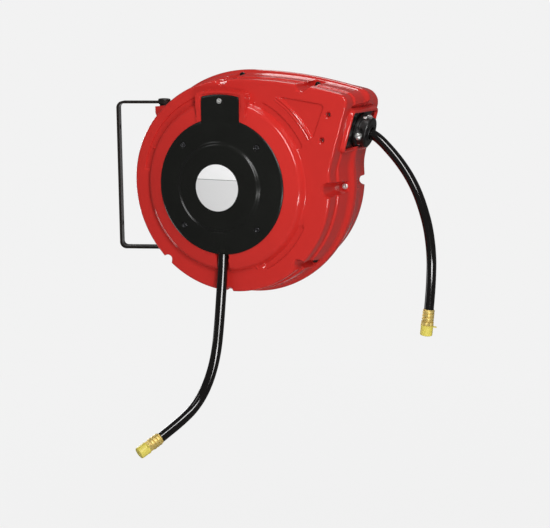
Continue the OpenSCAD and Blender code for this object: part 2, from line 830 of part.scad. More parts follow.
module outlet_ferrule() color(brass) at_outlet_end() ferrule(hose_d);
module outlet_fitting() color(brass) at_outlet_end() fitting();
module outlet_cap() color("gold") at_outlet_end() rotate([0, 0, 180]) cap();
module inlet_ferrule() color(brass) at_inlet_end() ferrule(supply_d);
module inlet_fitting() color(brass) at_inlet_end() fitting();
module inlet_cap() color("gold") at_inlet_end() rotate([0, 0, 123]) cap();

// ---------- hose guide ----------

module guide_plate() color(black) on_case() on_mouth() {
    difference() {
        translate([-plate_t, -plate_w / 2, -plate_h / 2]) cube([plate_t, plate_w, plate_h]);
        rod_out(hose_r + 1.5, -plate_t - 1, 1);
    }
}

module roller_pins() color(steel) on_case() {
    for (side = [-1, 1]) rod_y(roller_pin_d / 2, face_y + 9, case_half - 10, roller_spot(side));
}

module roller(side) color(black) on_case() {
    tube_y(roller_r, roller_pin_d / 2 + run_fit, -plate_w / 2 + 3.5, plate_w / 2 - 3.5, roller_spot(side));
}

module upper_roller() roller(1);
module lower_roller() roller(-1);

// The run of hose from the drum's last turn through the guide to the stop's outer face
module hose_lead() color(black) on_case() {
    rotate([90, 0, 0]) rotate([0, 0, 90 - mouth_tilt]) {
        rotate_extrude(angle = 60) translate([run_r, 0]) circle(r = hose_r);
        translate([run_r, 0, 0]) rotate([90, 0, 0]) linear_extrude(run_len + grip_end) circle(r = hose_r);
    }
}

// The stop's halves close on the hose across a plane that slants towards the front
stop_slant = 138;

module stop_frame() {
    on_case() on_mouth() rotate([stop_slant, 0, 0]) children();
}

module stop_half(side) color(black) stop_frame() {
    difference() {
        union() {
            rod_out(stop_r, stop_gap, stop_end);
            rod_out(stop_r + 2.5, stop_gap, stop_gap + 4.5);
            rod_out(flare_r + 2, stop_end, stop_end + 1.5);
        }
        rod_out(hose_r + run_fit, 0, stop_end + 1);
        rotate([0, 90, 0]) translate([0, 0, grip_end + 0.5])
            cylinder(r1 = hose_r + run_fit, r2 = flare_r, h = stop_end + 1.6 - grip_end - 0.5);
        translate([0, -40, side > 0 ? -80 + pass_gap : -pass_gap]) cube([60, 80, 80]);
        for (y = [-1, 1] * stop_screw) translate([stop_screw_x, y, 0]) {
            translate([0, 0, -40]) cylinder(r = 2.5, h = 80);
            translate([0, 0, stop_seat]) cylinder(r = 4.7, h = 25);
            translate([0, 0, -stop_seat - 25]) cylinder(d = 8.4 / cos(30), h = 25, $fn = 6);
        }
    }
}

stop_screw_x = stop_gap + 7.5;
stop_seat = 6;

module stop_front() stop_half(1);
module stop_back() stop_half(-1);

module stop_screws() color(steel) stop_frame() {
    for (y = [-1, 1] * stop_screw) translate([stop_screw_x, y, 0]) {
        translate([0, 0, -stop_seat - 3]) cylinder(r = 2.4, h = 2 * stop_seat + 3.1);
        translate([0, 0, stop_seat]) cylinder(r = 4.4, h = 3.2);
    }
}

module stop_nuts() color(steel) stop_frame() {
    for (y = [-1, 1] * stop_screw) translate([stop_screw_x, y, -stop_seat - 3.5]) difference() {
        cylinder(d = 8 / cos(30), h = 3.5, $fn = 6);
        translate([0, 0, -1]) cylinder(r = 2.4 + run_fit, h = 6);
    }
}

// ---------- drum ----------

drum_screw_spots = [for (a = [30 : 60 : 330]) (core_r - core_wall - 6) * [cos(a), sin(a)]];
spindle_screw_spots = [for (a = [0 : 90 : 270]) 16 * [cos(a), sin(a)]];
tail_y = -drum_y + 20;

module drum_front() color("dimgray") on_case() {
    difference() {
        rod_y(flange_r, -drum_face, -drum_y);
        rod_y(journal_r + run_fit, -drum_face - 1, -drum_y + 1);
        for (spot = concat(drum_screw_spots, spindle_screw_spots)) rod_y(2.1, -drum_face - 1, -drum_y + 1, spot);
    }
}

module drum_core() color("dimgray") on_case() {
    difference() {
        union() {
            tube_y(core_r, core_r - core_wall, -drum_y, drum_y);
            for (spot = drum_screw_spots) rod_y(6.5, -drum_y, drum_y, spot);
        }
        for (spot = drum_screw_spots) rod_y(1.9, -drum_y - 1, drum_y + 1, spot);
        translate([0, tail_y, 0]) rotate([0, -90, 0]) cylinder(r = hose_r + pass_gap, h = core_r + 5);
    }
}

module drum_rear() color("dimgray") on_case() {
    hub_r = axle_r + 10;
    difference() {
        union() {
            rod_y(flange_r, drum_y, drum_face);
            tube_y(box_r + 3, box_r, drum_face, box_y);
            rod_y(hub_r, clip_y + 0.5, drum_face + 2);
            tube_y(latch_r, box_r, latch_y[0], latch_y[1]);
        }
        rod_y(axle_r + 3 + run_fit, clip_y, drum_face + 3);
        for (spot = drum_screw_spots) rod_y(2.1, drum_y - 1, drum_face + 1, spot);
        for (k = [0 : notch_count - 1]) rotate([0, -pawl_angle - k * 360 / notch_count, 0])
            translate([latch_r - notch_deep, latch_y[0] + 0.01, -notch_w / 2]) cube([20, 20, notch_w]);
        for (spot = lid_screw_spots) rod_y(1.2, box_y - 8, box_y + 1, spot);
    }
}

module drum_screws() color(steel) on_case() {
    for (spot = drum_screw_spots) {
        rod_y(1.85, -drum_face, 12 - drum_y, spot);
        rod_y(3.6, -drum_face - 2.2, -drum_face, spot);
        rod_y(1.85, drum_y - 12, drum_face, spot);
        rod_y(3.6, drum_face, drum_face + 2.2, spot);
    }
    for (spot = spindle_screw_spots) rod_y(2, -drum_face - 5.2, -drum_y, spot);
}

module drum_bush() color("ivory") on_case() {
    tube_y(axle_r + 3, axle_r + run_fit, clip_y + 0.5, drum_face + 2);
}

port_y = lead_y;
seal_y = [port_y - 7, port_y + 7];

module spindle() color(brass) on_case() {
    difference() {
        turned([[0, elbow_y[1] - 3], [spindle_r, elbow_y[1] - 3], [spindle_r, elbow_y[0] + 0.8],
            [journal_r, elbow_y[0] + 0.8], [journal_r, -drum_face - 3], [20, -drum_face - 3],
            [20, -drum_face], [journal_r, -drum_face], [journal_r, -drum_y], [spindle_r, -drum_y],
            [spindle_r, tail_y - 10.5], [0, tail_y - 10.5]]);
        rod_y(spindle_bore_r, elbow_y[1] + 1, tail_y);
        for (a = [0, 90]) translate([0, port_y, 0]) rotate([0, a, 0])
            cylinder(r = 3, h = 2 * spindle_r + 2, center = true);
        for (y = seal_y) tube_y(spindle_r + 1, spindle_r - 1.5, y - 1.3, y + 1.3);
        tube_y(spindle_r + 1, spindle_r - 0.8, elbow_y[1] - 1.5, elbow_y[1] - 0.1);
        for (spot = spindle_screw_spots) rod_y(2.1, -drum_face - 4, -drum_face + 1, spot);
    }
}

module spindle_seals() color("black") on_case() {
    for (y = seal_y) tube_y(spindle_r, spindle_r - 1.45, y - 1.2, y + 1.2);
}

module spindle_clip() color(steel) on_case() {
    tube_y(spindle_r + 3, spindle_r - 0.75, elbow_y[1] - 1.4, elbow_y[1] - 0.2);
}

// Elbow inside the core that turns the flow from the spindle into the hose's tail
module drum_elbow() color(brass) on_case() {
    difference() {
        union() {
            rod_y(spindle_r + 4, tail_y - 20, tail_y + 11);
            translate([0, tail_y, 0]) rotate([0, -90, 0]) cylinder(r = 8, h = 19);
            translate([0, tail_y, 0]) rotate([0, -90, 0]) cylinder(r = hose_bore / 2 - run_fit, h = 44);
        }
        rod_y(spindle_r + run_fit, tail_y - 21, tail_y - 10);
        rod_y(spindle_bore_r, tail_y - 21, tail_y + 5);
        translate([0, tail_y, 0]) rotate([0, -90, 0]) cylinder(r = 3.5, h = 45);
    }
}

module hose_tail() color(black) on_case() {
    translate([0, tail_y, 0]) rotate([0, -90, 0]) difference() {
        translate([0, 0, 19.3]) cylinder(r = hose_r, h = core_r - 20);
        cylinder(d = hose_bore, h = core_r + 1);
    }
}

// The full turns, as one ring whose outside shows the last layer
module wound_hose() color(black) on_case() {
    lay = (drum_w - 2 * pass_gap) / turns_wide;
    dip = hose_r - sqrt(hose_r * hose_r - lay * lay / 4 * 0.9);
    crest = [for (i = [0 : turns_wide - 1], k = [-2 : 2])
        let (y = k * lay / 4.2) [pack_r - dip * k * k / 4, (i + 0.5) * lay - drum_y + pass_gap + y]];
    turned(concat([[core_r + pass_gap, -drum_y + pass_gap]], crest, [[core_r + pass_gap, drum_y - pass_gap]]));
}

// ---------- spring box ----------

lid_screw_spots = [for (a = [0 : 60 : 300]) (box_r + 1.5) * [cos(a), sin(a)]];

module spring_lid() color("dimgray") on_case() {
    difference() {
        rod_y(box_r + 3, box_y, box_y + lid_t);
        rod_y(axle_r + 1, box_y - 1, box_y + lid_t + 1);
        for (spot = lid_screw_spots) rod_y(1.3, box_y - 1, box_y + lid_t + 1, spot);
    }
}

module lid_screws() color(steel) on_case() {
    for (spot = lid_screw_spots) {
        rod_y(1.15, box_y - 7, box_y + lid_t, spot);
        rod_y(2.2, box_y + lid_t, box_y + lid_t + 1.4, spot);
    }
}

// Flat spiral strip from the arbor out to the box's wall
module power_spring() color(steel) on_case() {
    steps = 20 * spring_coils;
    inner = axle_r + 3 + pass_gap;
    outer = box_r - pass_gap - strip_t;
    path = [for (i = [0 : steps]) let (a = 360 * spring_coils * i / steps) [inner + (outer - inner) * i / steps, a]];
    slab(drum_face + 3, box_y - 1.5) polygon(concat(
        [for (p = path) p[0] * [cos(p[1]), sin(p[1])]],
        [for (i = [steps : -1 : 0]) (path[i][0] + strip_t) * [cos(path[i][1]), sin(path[i][1])]]));
}

// ---------- latch ----------

pawl_spot = pawl_r * [cos(pawl_angle + pawl_lag), sin(pawl_angle + pawl_lag)];

// The pawl is a bar from its pin to a nose that stands just clear of the latch ring
module latch_pawl() color(steel) on_case() {
    tip = latch_r + 1.2;
    out = [cos(pawl_angle), sin(pawl_angle)];
    along = [-sin(pawl_angle), cos(pawl_angle)];
    difference() {
        union() {
            slab(pawl_y[0], pawl_y[1]) polygon([tip * out - 3 * along, tip * out + 3.5 * along,
                (tip + 6) * out + 9 * along, pawl_spot - 5 * out - 2 * along,
                pawl_spot + 5 * out - 2 * along, (tip + 9) * out - 3 * along]);
            rod_y(6.5, pawl_y[0], pawl_y[1], pawl_spot);
        }
        rod_y(pawl_pin_r + run_fit, pawl_y[0] - 1, pawl_y[1] + 1, pawl_spot);
    }
}

module pawl_pin() color(steel) on_case() {
    rod_y(pawl_pin_r, pawl_y[0] - 0.5, case_half - wall - 1, pawl_spot);
}

module pawl_spring() color(steel) on_case() {
    tube_y(pawl_pin_r + 1.8, pawl_pin_r + 0.2, pawl_y[1] + 0.4, pawl_y[1] + 5.6, pawl_spot);
}

wall_bracket();
pivot_pins();
pivot_washers();
pivot_bushes();
front_shell();
rear_shell();
case_screws();
front_cover();
cover_screws();
label_disc();
axle_plate();
axle_screws();
drum_axle();
spring_arbor();
axle_clip();
spindle_bearing();
inlet_elbow();
inlet_clamp();
inlet_lead();
inlet_hose();
inlet_ferrule();
inlet_fitting();
inlet_cap();
guide_plate();
roller_pins();
upper_roller();
lower_roller();
hose_lead();
stop_front();
stop_back();
stop_screws();
stop_nuts();
outlet_hose();
outlet_ferrule();
outlet_fitting();
outlet_cap();
drum_front();
drum_core();
drum_rear();
drum_screws();
drum_bush();
spindle();
spindle_seals();
spindle_clip();
drum_elbow();
hose_tail();
wound_hose();
spring_lid();
lid_screws();
power_spring();
latch_pawl();
pawl_pin();
pawl_spring();
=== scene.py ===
"""Dresses the packed hose reel: moulded case halves, cover, mouth, stop, hoses, fittings and screws.

Lengths are in millimetres in the case frame unless a name ends in _M: X points at the snout, Y from
the cover to the back, Z up, and the origin lies on the drum's axis in the joint of the case.
"""

import json
import math

import bpy
import numpy as np
from mathutils import Matrix, Vector


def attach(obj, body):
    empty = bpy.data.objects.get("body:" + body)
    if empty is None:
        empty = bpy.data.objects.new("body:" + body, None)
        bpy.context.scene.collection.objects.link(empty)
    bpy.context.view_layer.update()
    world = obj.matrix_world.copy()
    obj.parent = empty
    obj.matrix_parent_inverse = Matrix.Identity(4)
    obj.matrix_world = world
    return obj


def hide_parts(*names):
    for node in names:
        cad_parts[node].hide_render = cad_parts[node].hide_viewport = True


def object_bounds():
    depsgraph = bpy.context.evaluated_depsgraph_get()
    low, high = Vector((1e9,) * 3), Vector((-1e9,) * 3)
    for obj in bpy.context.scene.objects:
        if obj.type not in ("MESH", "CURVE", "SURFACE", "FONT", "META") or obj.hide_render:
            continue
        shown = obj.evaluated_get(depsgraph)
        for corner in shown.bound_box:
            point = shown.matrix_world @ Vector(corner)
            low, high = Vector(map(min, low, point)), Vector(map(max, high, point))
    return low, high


bl_info = {
    "name": "Hose reel dressing",
    "version": (1, 0, 0),
    "blender": (4, 5, 0),
    "location": "3D View > Sidebar > Hose reel",
    "description": "Makes the visible surfaces of a wall-hung hose reel round its solid frame",
    "category": "Object",
}

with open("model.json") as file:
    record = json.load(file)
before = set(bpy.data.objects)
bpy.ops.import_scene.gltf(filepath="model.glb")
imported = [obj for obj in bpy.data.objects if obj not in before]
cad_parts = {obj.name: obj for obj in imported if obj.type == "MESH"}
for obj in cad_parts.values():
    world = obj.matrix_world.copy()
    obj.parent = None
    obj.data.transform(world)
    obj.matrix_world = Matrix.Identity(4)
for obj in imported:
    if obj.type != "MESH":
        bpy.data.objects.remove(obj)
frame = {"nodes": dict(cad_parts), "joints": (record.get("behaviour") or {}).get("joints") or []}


def unit(vectors):
    """Vectors brought to length 1."""
    v = np.asarray(vectors, float)
    return v / np.linalg.norm(v, axis=-1, keepdims=True)


def heading(turn):
    """Unit directions at turns in the case's plane."""
    return np.stack([np.cos(turn), np.sin(turn)], -1)


CAD_BOX = [list(corner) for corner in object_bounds()]
JOINTS = {joint["name"]: joint for joint in frame["joints"]}
MM = 0.001

# Case frame in the row frame, from the drum's own axis
AXIS_POINT = np.array(JOINTS["drum_spin"]["pos_m"])
BACKWARDS = unit(JOINTS["drum_spin"]["axis"])
OUTWARDS = np.array([BACKWARDS[1], -BACKWARDS[0], 0.0])
UPWARDS = np.array([0.0, 0.0, 1.0])

# Case
CASE_CENTRE = np.array([6.0, 0.4])
CASE_R, HALF_DEPTH = 180.0, 79.0
CROWN_ARC_R, CROWN_ARC_C, CROWN_RISE = 206.0, np.array([8.0, -29.5]), 1.5
ARCH_R, ARCH_X, ARCH_SHIFT, ARCH_TOP, ARCH_DROP = 670.0, 8.0, 1.33, 176.0, 0.95
MOUTH_LIP, MOUTH_DRAW, CORNER_R = 6.0, 0.65, 14.0
REAR_LIP, REAR_CORNER_R = 3.0, 22.0
SLANT_DROP, SLANT_FOOT = 36.0, math.radians(7)
SNOUT_TURNS, SNOUT_START = (math.radians(6), 1.6), 14.0
BLEND_TURN, LOW_BLEND, TOP_BLEND = 0.6, 5.0, 0.8
FRONT_HUB_R, REAR_HUB_R, HUB_DEPTH = 16.0, 10.05, 69.0
WALL_INSET, WALL_INSET_DEEP, WALL_LIP = 22.0, 27.0, -14.0
POCKET_DEEP, POCKET_HALF, POCKET_WIDE, POCKET_TURN, POCKET_REACH = 9.0, 31.0, 54.0, 0.45, 0.5
WELL_FLOOR_R, WELL_END, WELL_RIM, WELL_RIM_END = 6.6, 14.0, 2.6, 73.0
WELL_RING, WELL_TURNS = CASE_R - 12.5, np.radians([0, -45, -92, -135, 92])
WELLS = [*(CASE_CENTRE + WELL_RING * heading(WELL_TURNS)), np.array([128.0, 154.5])]
# Each well's mouth in the face: its centre's distance and direction from the case's, its radius
WELL_MOUTHS = ((166.0, 0.3, 11.5), (166.0, -45, 9.5), (168.0, -90.5, 6.5), (168.0, -131.8, 8.0),
               (166.0, 94.0, 10.7), (196.8, 51.95, 9.5))

# Face: sunk arcs between the ring and the sides, sunk panel with its two beads, nubs by the ring
GROOVES = ((28.2, 62.0), (-60, -25), (110, 170))
GROOVE_R, GROOVE_HALF, GROOVE_DEEP = 139.1, 5.4, 2.2
PANEL_R, PANEL_DEEP = 164.0, 2.3
PANEL_TOP, PANEL_TOP_WAY = np.array([89.2, 138.8]), np.array([10.2, 67.9])
PANEL_SIDE, PANEL_SIDE_WAY = np.array([162.2, 124.0]), np.array([44.5, -15.7])
BEADS, BEAD_HALF, BEAD_SPAN = ((157.3, 1.0), (161.4, 1.2)), 1.9, (28.7, 57.4)
NUB_TURNS = (156.7, 68.4, -66.5)
NUB_R, NUB_LONG, NUB_WIDE, NUB_HIGH = 135.5, 3.4, 1.4, 1.8

# Block round the cover's tab, slot for the supply hose
BLOCK_HALF, BLOCK_TOP, BLOCK_RIM = 42.3, 147.0, 1.3
SEAT_HALF, SEAT_TOP, SEAT_DEPTH = 34.5, 142.5, 94.5
SLOT_HALF, SLOT_FLOOR = 10.2, 80.4

# Cover, its hood over the supply hose, its screws; label; axle screws; arms of the bracket
COVER_R, RIM_DEPTH, TAB_HALF, TAB_TOP = 105.0, 97.0, 32.0, 141.0
HOOD_R, HOOD_DEPTH, HOOD_FOOT, HOOD_START, HOOD_RISE = 10.6, 89.0, 70.0, 82.0, 9.0
COVER_SCREWS = [(sx * 62.5, sz * 62.5) for sx in (-1, 1) for sz in (-1, 1)]
TAB_SCREW, SINK_R, SINK_EDGE = 131.0, 5.0, 0.8
LABEL_FACE, LABEL_BACK = 108.5, 107.6
LABEL_LINE, LINE_HALF, LABEL_RIM = 12.5, 0.35, 35.9
AXLE_SCREW_R, AXLE_PLATE_Y = 34.0, 91.0
ARM_TOP = 122.5

# Mouth: its centre, tilt and the guide's sizes
MOUTH = np.array([190.0, 87.0])
RUN_R = 132.8
TILT = math.asin(RUN_R / math.hypot(*MOUTH)) - math.atan2(MOUTH[1], MOUTH[0])
MOUTH_OUT = heading(-TILT)
MOUTH_UP = np.array([math.sin(TILT), math.cos(TILT)])
PLATE_W, PLATE_H = 104.0, 57.0
ROLLER_SPOTS = [MOUTH - 27 * MOUTH_OUT + side * 19.5 * MOUTH_UP for side in (1, -1)]
STOP_R, STOP_SPAN, STOP_SLANT = 24.0, (0.5, 19.5), math.radians(42)
STOP_SCREW, STOP_SCREW_X, STOP_SEAT, STOP_SEAT_R = 19.5, 8.0, 6.0, 6.5

# Free hoses: routes in the upright planes they hang in, as in the frame's solids
HOSE_R, SUPPLY_R, LEAD_Y, GRIP_END = 7.5, 8.0, -89.0, 10.0
OUTLET_ROUTE = [
    (206.3, 82.3), (212.7, 79.4), (218.7, 75.8), (224.3, 71.6), (229.5, 67), (235.5, 61.2),
    (241.6, 55), (247.9, 48.3), (254, 41.3), (260.3, 33.4), (267, 24.3), (273.5, 14.2),
    (280, 2.8), (286, -9.8), (291.5, -23.5), (296.3, -37.5), (300.3, -51), (303.5, -65),
    (306, -80), (307.9, -96), (308.9, -112), (309, -128), (308.7, -145), (307.9, -163),
    (306.6, -184)]
OUTLET_DIP = math.radians(95)
INLET_ROUTE = [
    (0, -104), (1, -125), (2.7, -148), (4.7, -170), (7.2, -198), (9.8, -223), (13, -248),
    (17, -268), (22, -285.5), (29, -303.5), (38, -320.5), (49, -335.5), (62, -348.2),
    (77, -358.6), (92, -367.4), (107, -375.4), (118.5, -381.5)]
INLET_HEADING, INLET_DIP, INLET_TAB_TURN = np.radians([-121, 25, 147])
FERRULE_LEN, HEX_LEN, HEX_AF = 19.5, 5.5, 17.0
THREAD_R, THREAD_LEN = 8.3, 13.5
RIB_TURNS, RIB_HIGH = 3.7, 1.35

# Camera
CAMERA_AT = np.array([793.9, -1663.6, 215.3])
CAMERA_TURN, CAMERA_RISE, CAMERA_ROLL = np.radians([24.139 - 20.0, 10.825, -0.148])
CAMERA_LENS = 1150 / 550 * 36

# Studio: backdrop and the cosines between which it gives way to the darker room round the camera;
# floor, its shade under the object and further out; each lamp's place, size and share of the key
BACKDROP, ROOM_SHADE, BACKDROP_CONE = 0.949, 0.38, (0.93, 1.0)
FLOOR_HALF_M, FLOOR_DROP_M = 1.4, 0.25
FADE_SPAN_M, FADE_SHADES = (0.3, 1.3), (0.97, 1.0)
LAMP_AIM = (20, 0, -40)
LAMPS = {
    "key": ((900, -1200, 830), (0.3, 1.0), 1.0),
    "front": ((1047, -1340, -400), (0.75, 0.14), 0.34),
    "left": ((-1000, -1100, 1150), (0.3, 0.6), 0.12),
    "low": ((-1100, -80, -560), (0.3, 0.4), 0.08),
    "top": ((70, -230, 1300), (0.4, 0.4), 0.2),
    "back": ((-300, 1300, 1300), (0.8, 0.5), 0.3),
    "back_left": ((-1300, 1000, -50), (0.6, 0.6), 0.5),
}

# Share of the noise over which a finish drifts from one shade to the other
DRIFT_SPAN = (0.3, 0.7)


# ---------- places ----------

def in_row(points):
    """Case-frame points in millimetres to row-frame points in metres: origin plus the three axes."""
    x, y, z = np.moveaxis(np.asarray(points, float)[..., None], -2, 0)
    return AXIS_POINT + MM * (x * OUTWARDS + y * BACKWARDS + z * UPWARDS)


def from_mouth(w, y, u):
    """Mouth coordinates (out along the hose, back, up the mouth's face) to the case frame."""
    x, z = (MOUTH[k] + w * MOUTH_OUT[k] + u * MOUTH_UP[k] for k in (0, 1))
    return np.stack(np.broadcast_arrays(x, y, z), -1).astype(float)


def from_stop(w, t, n):
    """Stop coordinates: t lies across the split plane, n stands on it, towards the front and up."""
    c, s = math.cos(STOP_SLANT), math.sin(STOP_SLANT)
    return from_mouth(w, t * c - n * s, t * s + n * c)


# ---------- curves ----------

def smooth_step(x):
    """0 below 0, 1 above 1, and 3x^2 - 2x^3 between."""
    x = np.clip(x, 0, 1)
    return x * x * (3 - 2 * x)


def soft_min(a, b, k):
    """The smaller of two heights, rounded over a band k wide where they cross."""
    h = np.clip(1 - np.abs(a - b) / k, 0, 1)
    return np.minimum(a, b) - k * h * h / 4


def soft_max(a, b, k):
    """The larger of two heights, rounded over a band k wide where they cross."""
    return -soft_min(-a, -b, k)


def rounded(points, cuts, steps):
    """A line through the points whose inner corners are parabolas that start a cut before them."""
    p = np.asarray(points, float)
    out = [p[:1]]
    t = np.linspace(0, 1, steps)[:, None]
    for before, at, after, cut in zip(p[:-2], p[1:-1], p[2:], cuts):
        if cut == 0:
            out.append(at[None])
            continue
        a = at + (before - at) * min(cut / np.linalg.norm(before - at), 0.49)
        b = at + (after - at) * min(cut / np.linalg.norm(after - at), 0.49)
        out.append((1 - t) ** 2 * a + 2 * t * (1 - t) * at + t ** 2 * b)
    out.append(p[-1:])
    return np.concatenate(out)


def through(points, per_span):
    """A smooth line through the points: Catmull-Rom spans with their ends mirrored."""
    p = np.asarray(points, float)
    p = np.concatenate([2 * p[:1] - p[1:2], p, 2 * p[-1:] - p[-2:-1]])
    t = (np.arange(per_span) / per_span)[:, None, None]
    a, b, c, d = p[:-3], p[1:-2], p[2:-1], p[3:]
    spans = 0.5 * (2 * b + (c - a) * t + (2 * a - 5 * b + 4 * c - d) * t ** 2
                   + (3 * b - a - 3 * c + d) * t ** 3)
    return np.concatenate([spans.transpose(1, 0, 2).reshape(-1, p.shape[1]), p[-2:-1]])


def divided(points, step):
    """The line with each part cut into equal lengths of about a step, which its start point sets."""
    out = [points[:1]]
    for a, b in zip(points[:-1], points[1:]):
        n = max(1, int(np.linalg.norm(b - a) / step(a)))
        out.append(a + (b - a) * (np.arange(1, n + 1) / n)[:, None])
    return np.concatenate(out)


def rounded_rectangle(half_a, half_b, radius, steps):
    """Points and outward normals round a rectangle with round corners, counter-clockwise."""
    t = np.linspace(0, math.pi / 2, steps)
    points, normals = [], []
    for k, (sa, sb) in enumerate(((1, 1), (-1, 1), (-1, -1), (1, -1))):
        turn = t + k * math.pi / 2
        n = heading(turn)
        points.append(np.array([sa * (half_a - radius), sb * (half_b - radius)]) + radius * n)
        normals.append(n)
    return np.concatenate(points), np.concatenate(normals)


# ---------- meshes ----------

def grid_faces(rows, cols, wrap_rows):
    """Quads of a grid of points, numbered row by row, whose rows are closed rings."""
    r = np.arange(rows if wrap_rows else rows - 1)[:, None]
    c = np.arange(cols)[None, :]
    r2, c2 = (r + 1) % rows, (c + 1) % cols
    return np.stack([r * cols + c, r * cols + c2, r2 * cols + c2, r2 * cols + c], -1).reshape(-1, 4)


def fan_faces(ring, centre):
    """Triangles from each side of a ring of points to one centre point."""
    nxt = np.roll(ring, -1)
    return np.stack([ring, nxt, np.full(len(ring), centre)], -1)


def linked(name, data):
    """An object in the scene's collection."""
    obj = bpy.data.objects.new(name, data)
    bpy.context.scene.collection.objects.link(obj)
    return obj


class Surface:
    """Collects closed surfaces for one piece and turns them outwards by their enclosed volume."""

    def __init__(self):
        self.points, self.faces, self.count = [], [[], []], 0

    def add(self, grid, wrap_rows=False):
        """A grid of case-frame points whose rows are rings; its ends are closed unless rows wrap."""
        g = np.asarray(grid, float)
        rows, cols = g.shape[:2]
        points = g.reshape(-1, 3)
        quads = grid_faces(rows, cols, wrap_rows)
        tris = np.zeros((0, 3), int)
        if not wrap_rows:
            first, last = np.arange(cols), np.arange(cols) + (rows - 1) * cols
            points = np.concatenate([points, np.stack([g[0].mean(0), g[-1].mean(0)])])
            tris = np.concatenate([fan_faces(first[::-1], rows * cols),
                                   fan_faces(last, rows * cols + 1)])
        if signed_volume(points, quads, tris) < 0:
            quads, tris = quads[:, ::-1], tris[:, ::-1]
        self.points.append(points)
        for kept, new in zip(self.faces, (quads, tris)):
            kept.append(new + self.count)
        self.count += len(points)
        return self

    def mesh(self, name):
        """The surfaces as one mesh in the row frame, quads before triangles."""
        mesh = bpy.data.meshes.new(name)
        faces = [tuple(face) for kind in self.faces for group in kind for face in group.tolist()]
        mesh.from_pydata(in_row(np.concatenate(self.points)).tolist(), [], faces)
        return mesh

    def piece(self, name, tint, node=None, body="case", crease=32):
        """The visible piece, smooth up to crease degrees, in place of a solid or beside it."""
        mesh = self.mesh(name)
        mesh.validate()
        mesh.polygons.foreach_set("use_smooth", np.ones(len(mesh.polygons), bool))
        mesh.set_sharp_from_angle(angle=math.radians(crease))
        mesh.materials.append(FINISHES[tint])
        obj = linked(name, mesh)
        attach(obj, body)
        if node:
            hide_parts(node)
        return obj


def signed_volume(points, quads, tris):
    """Six times the volume enclosed by the faces, positive when they point outwards."""
    faces = np.concatenate([quads[:, [0, 1, 2]], quads[:, [0, 2, 3]], tris])
    a, b, c = points[faces[:, 0]], points[faces[:, 1]], points[faces[:, 2]]
    return float((a * np.cross(b, c)).sum())


def round_turns(steps):
    """Equal steps once round a circle."""
    return np.linspace(0, 2 * math.pi, steps, endpoint=False)


def turned(profile, steps):
    """[radius, along] points turned once: rings of [along, across, up] points about a local axis."""
    p = np.asarray(profile, float)
    a = round_turns(steps)
    return np.stack([p[:, 1:2] + 0 * a, p[:, 0:1] * np.cos(a), p[:, 0:1] * np.sin(a)], -1)


def placed(local, at, along, across):
    """Local [along, across, up] points to the case frame."""
    along = unit(along)
    across = unit(across - along * np.dot(across, along))
    up = np.cross(along, across)
    a, b, c = np.moveaxis(local[..., None], -2, 0)
    return at + a * along + b * across + c * up


# ---------- finishes ----------

def linear(rgb):
    """sRGB values to the linear colour, with full alpha, that shaders take."""
    c = np.asarray(rgb, float)
    return np.where(c <= 0.04045, c / 12.92, ((c + 0.055) / 1.055) ** 2.4).tolist() + [1]


def connect(tree, node, inputs):
    """Sets a node's inputs, by name or number, to values or links them to sockets."""
    for key, value in inputs.items():
        if isinstance(value, bpy.types.NodeSocket):
            tree.links.new(value, node.inputs[key])
        else:
            node.inputs[key].default_value = value
    return node


def add_node(tree, kind, inputs=None, **settings):
    """A new shader node with its settings and inputs."""
    node = tree.nodes.new("ShaderNode" + kind)
    for key, value in settings.items():
        setattr(node, key, value)
    return connect(tree, node, inputs or {})


def computed(tree, operation, a, b):
    """One sum on two values or sockets."""
    return add_node(tree, "Math", {0: a, 1: b}, operation=operation).outputs[0]


def distance_from(tree, place, spot):
    """How far each place is from a spot."""
    return add_node(tree, "VectorMath", {0: place, 1: spot}, operation="DISTANCE").outputs["Value"]


def blend(tree, share, a, b):
    """Colour a where the share is 0 and colour b where it is 1."""
    mix = add_node(tree, "Mix", {"Factor": share, "A": a, "B": b}, data_type="RGBA")
    return mix.outputs["Result"]


def ramp(tree, value, low, high, start, end, kind="LINEAR"):
    """Runs from start to end while the value runs from low to high."""
    span = {"Value": value, "From Min": low, "From Max": high, "To Min": start, "To Max": end}
    return add_node(tree, "MapRange", span, interpolation_type=kind).outputs["Result"]


def finish(name, rgb, rough, metal=0.0, spread=0.06, grain=0.0, grain_size=0.0006, wear=0.04,
           subsurface=0.0, cloud=0.05, gloss=0.5):
    """A shader whose colour drifts between two near shades, with rough patches and fine grain."""
    mat = bpy.data.materials.new(name)
    mat.use_nodes = True
    tree = mat.node_tree
    place = add_node(tree, "TexCoord").outputs["Object"]
    noise = add_node(tree, "TexNoise", {"Scale": 1 / cloud, "Detail": 4, "Vector": place})
    drift = noise.outputs["Fac"]
    shade = add_node(tree, "ValToRGB", {"Fac": drift})
    for stop, at, share in zip(shade.color_ramp.elements, DRIFT_SPAN, (1 - spread, 1 + spread)):
        stop.position = at
        stop.color = linear(np.clip(np.array(rgb, float) * share, 0, 1))
    patches = ramp(tree, drift, *DRIFT_SPAN, max(rough - wear, 0.02), rough + wear)
    shader = connect(tree, tree.nodes["Principled BSDF"], {
        "Metallic": metal, "Specular IOR Level": gloss, "Subsurface Weight": subsurface,
        "Subsurface Scale": 0.003, "Base Color": shade.outputs["Color"], "Roughness": patches})
    if grain:
        speck = add_node(tree, "TexNoise", {"Scale": 1 / grain_size, "Detail": 2, "Vector": place})
        bump = add_node(tree, "Bump", {"Strength": grain, "Distance": grain_size * 0.4,
                                       "Height": speck.outputs["Fac"]})
        connect(tree, shader, {"Normal": bump.outputs["Normal"]})
    return mat


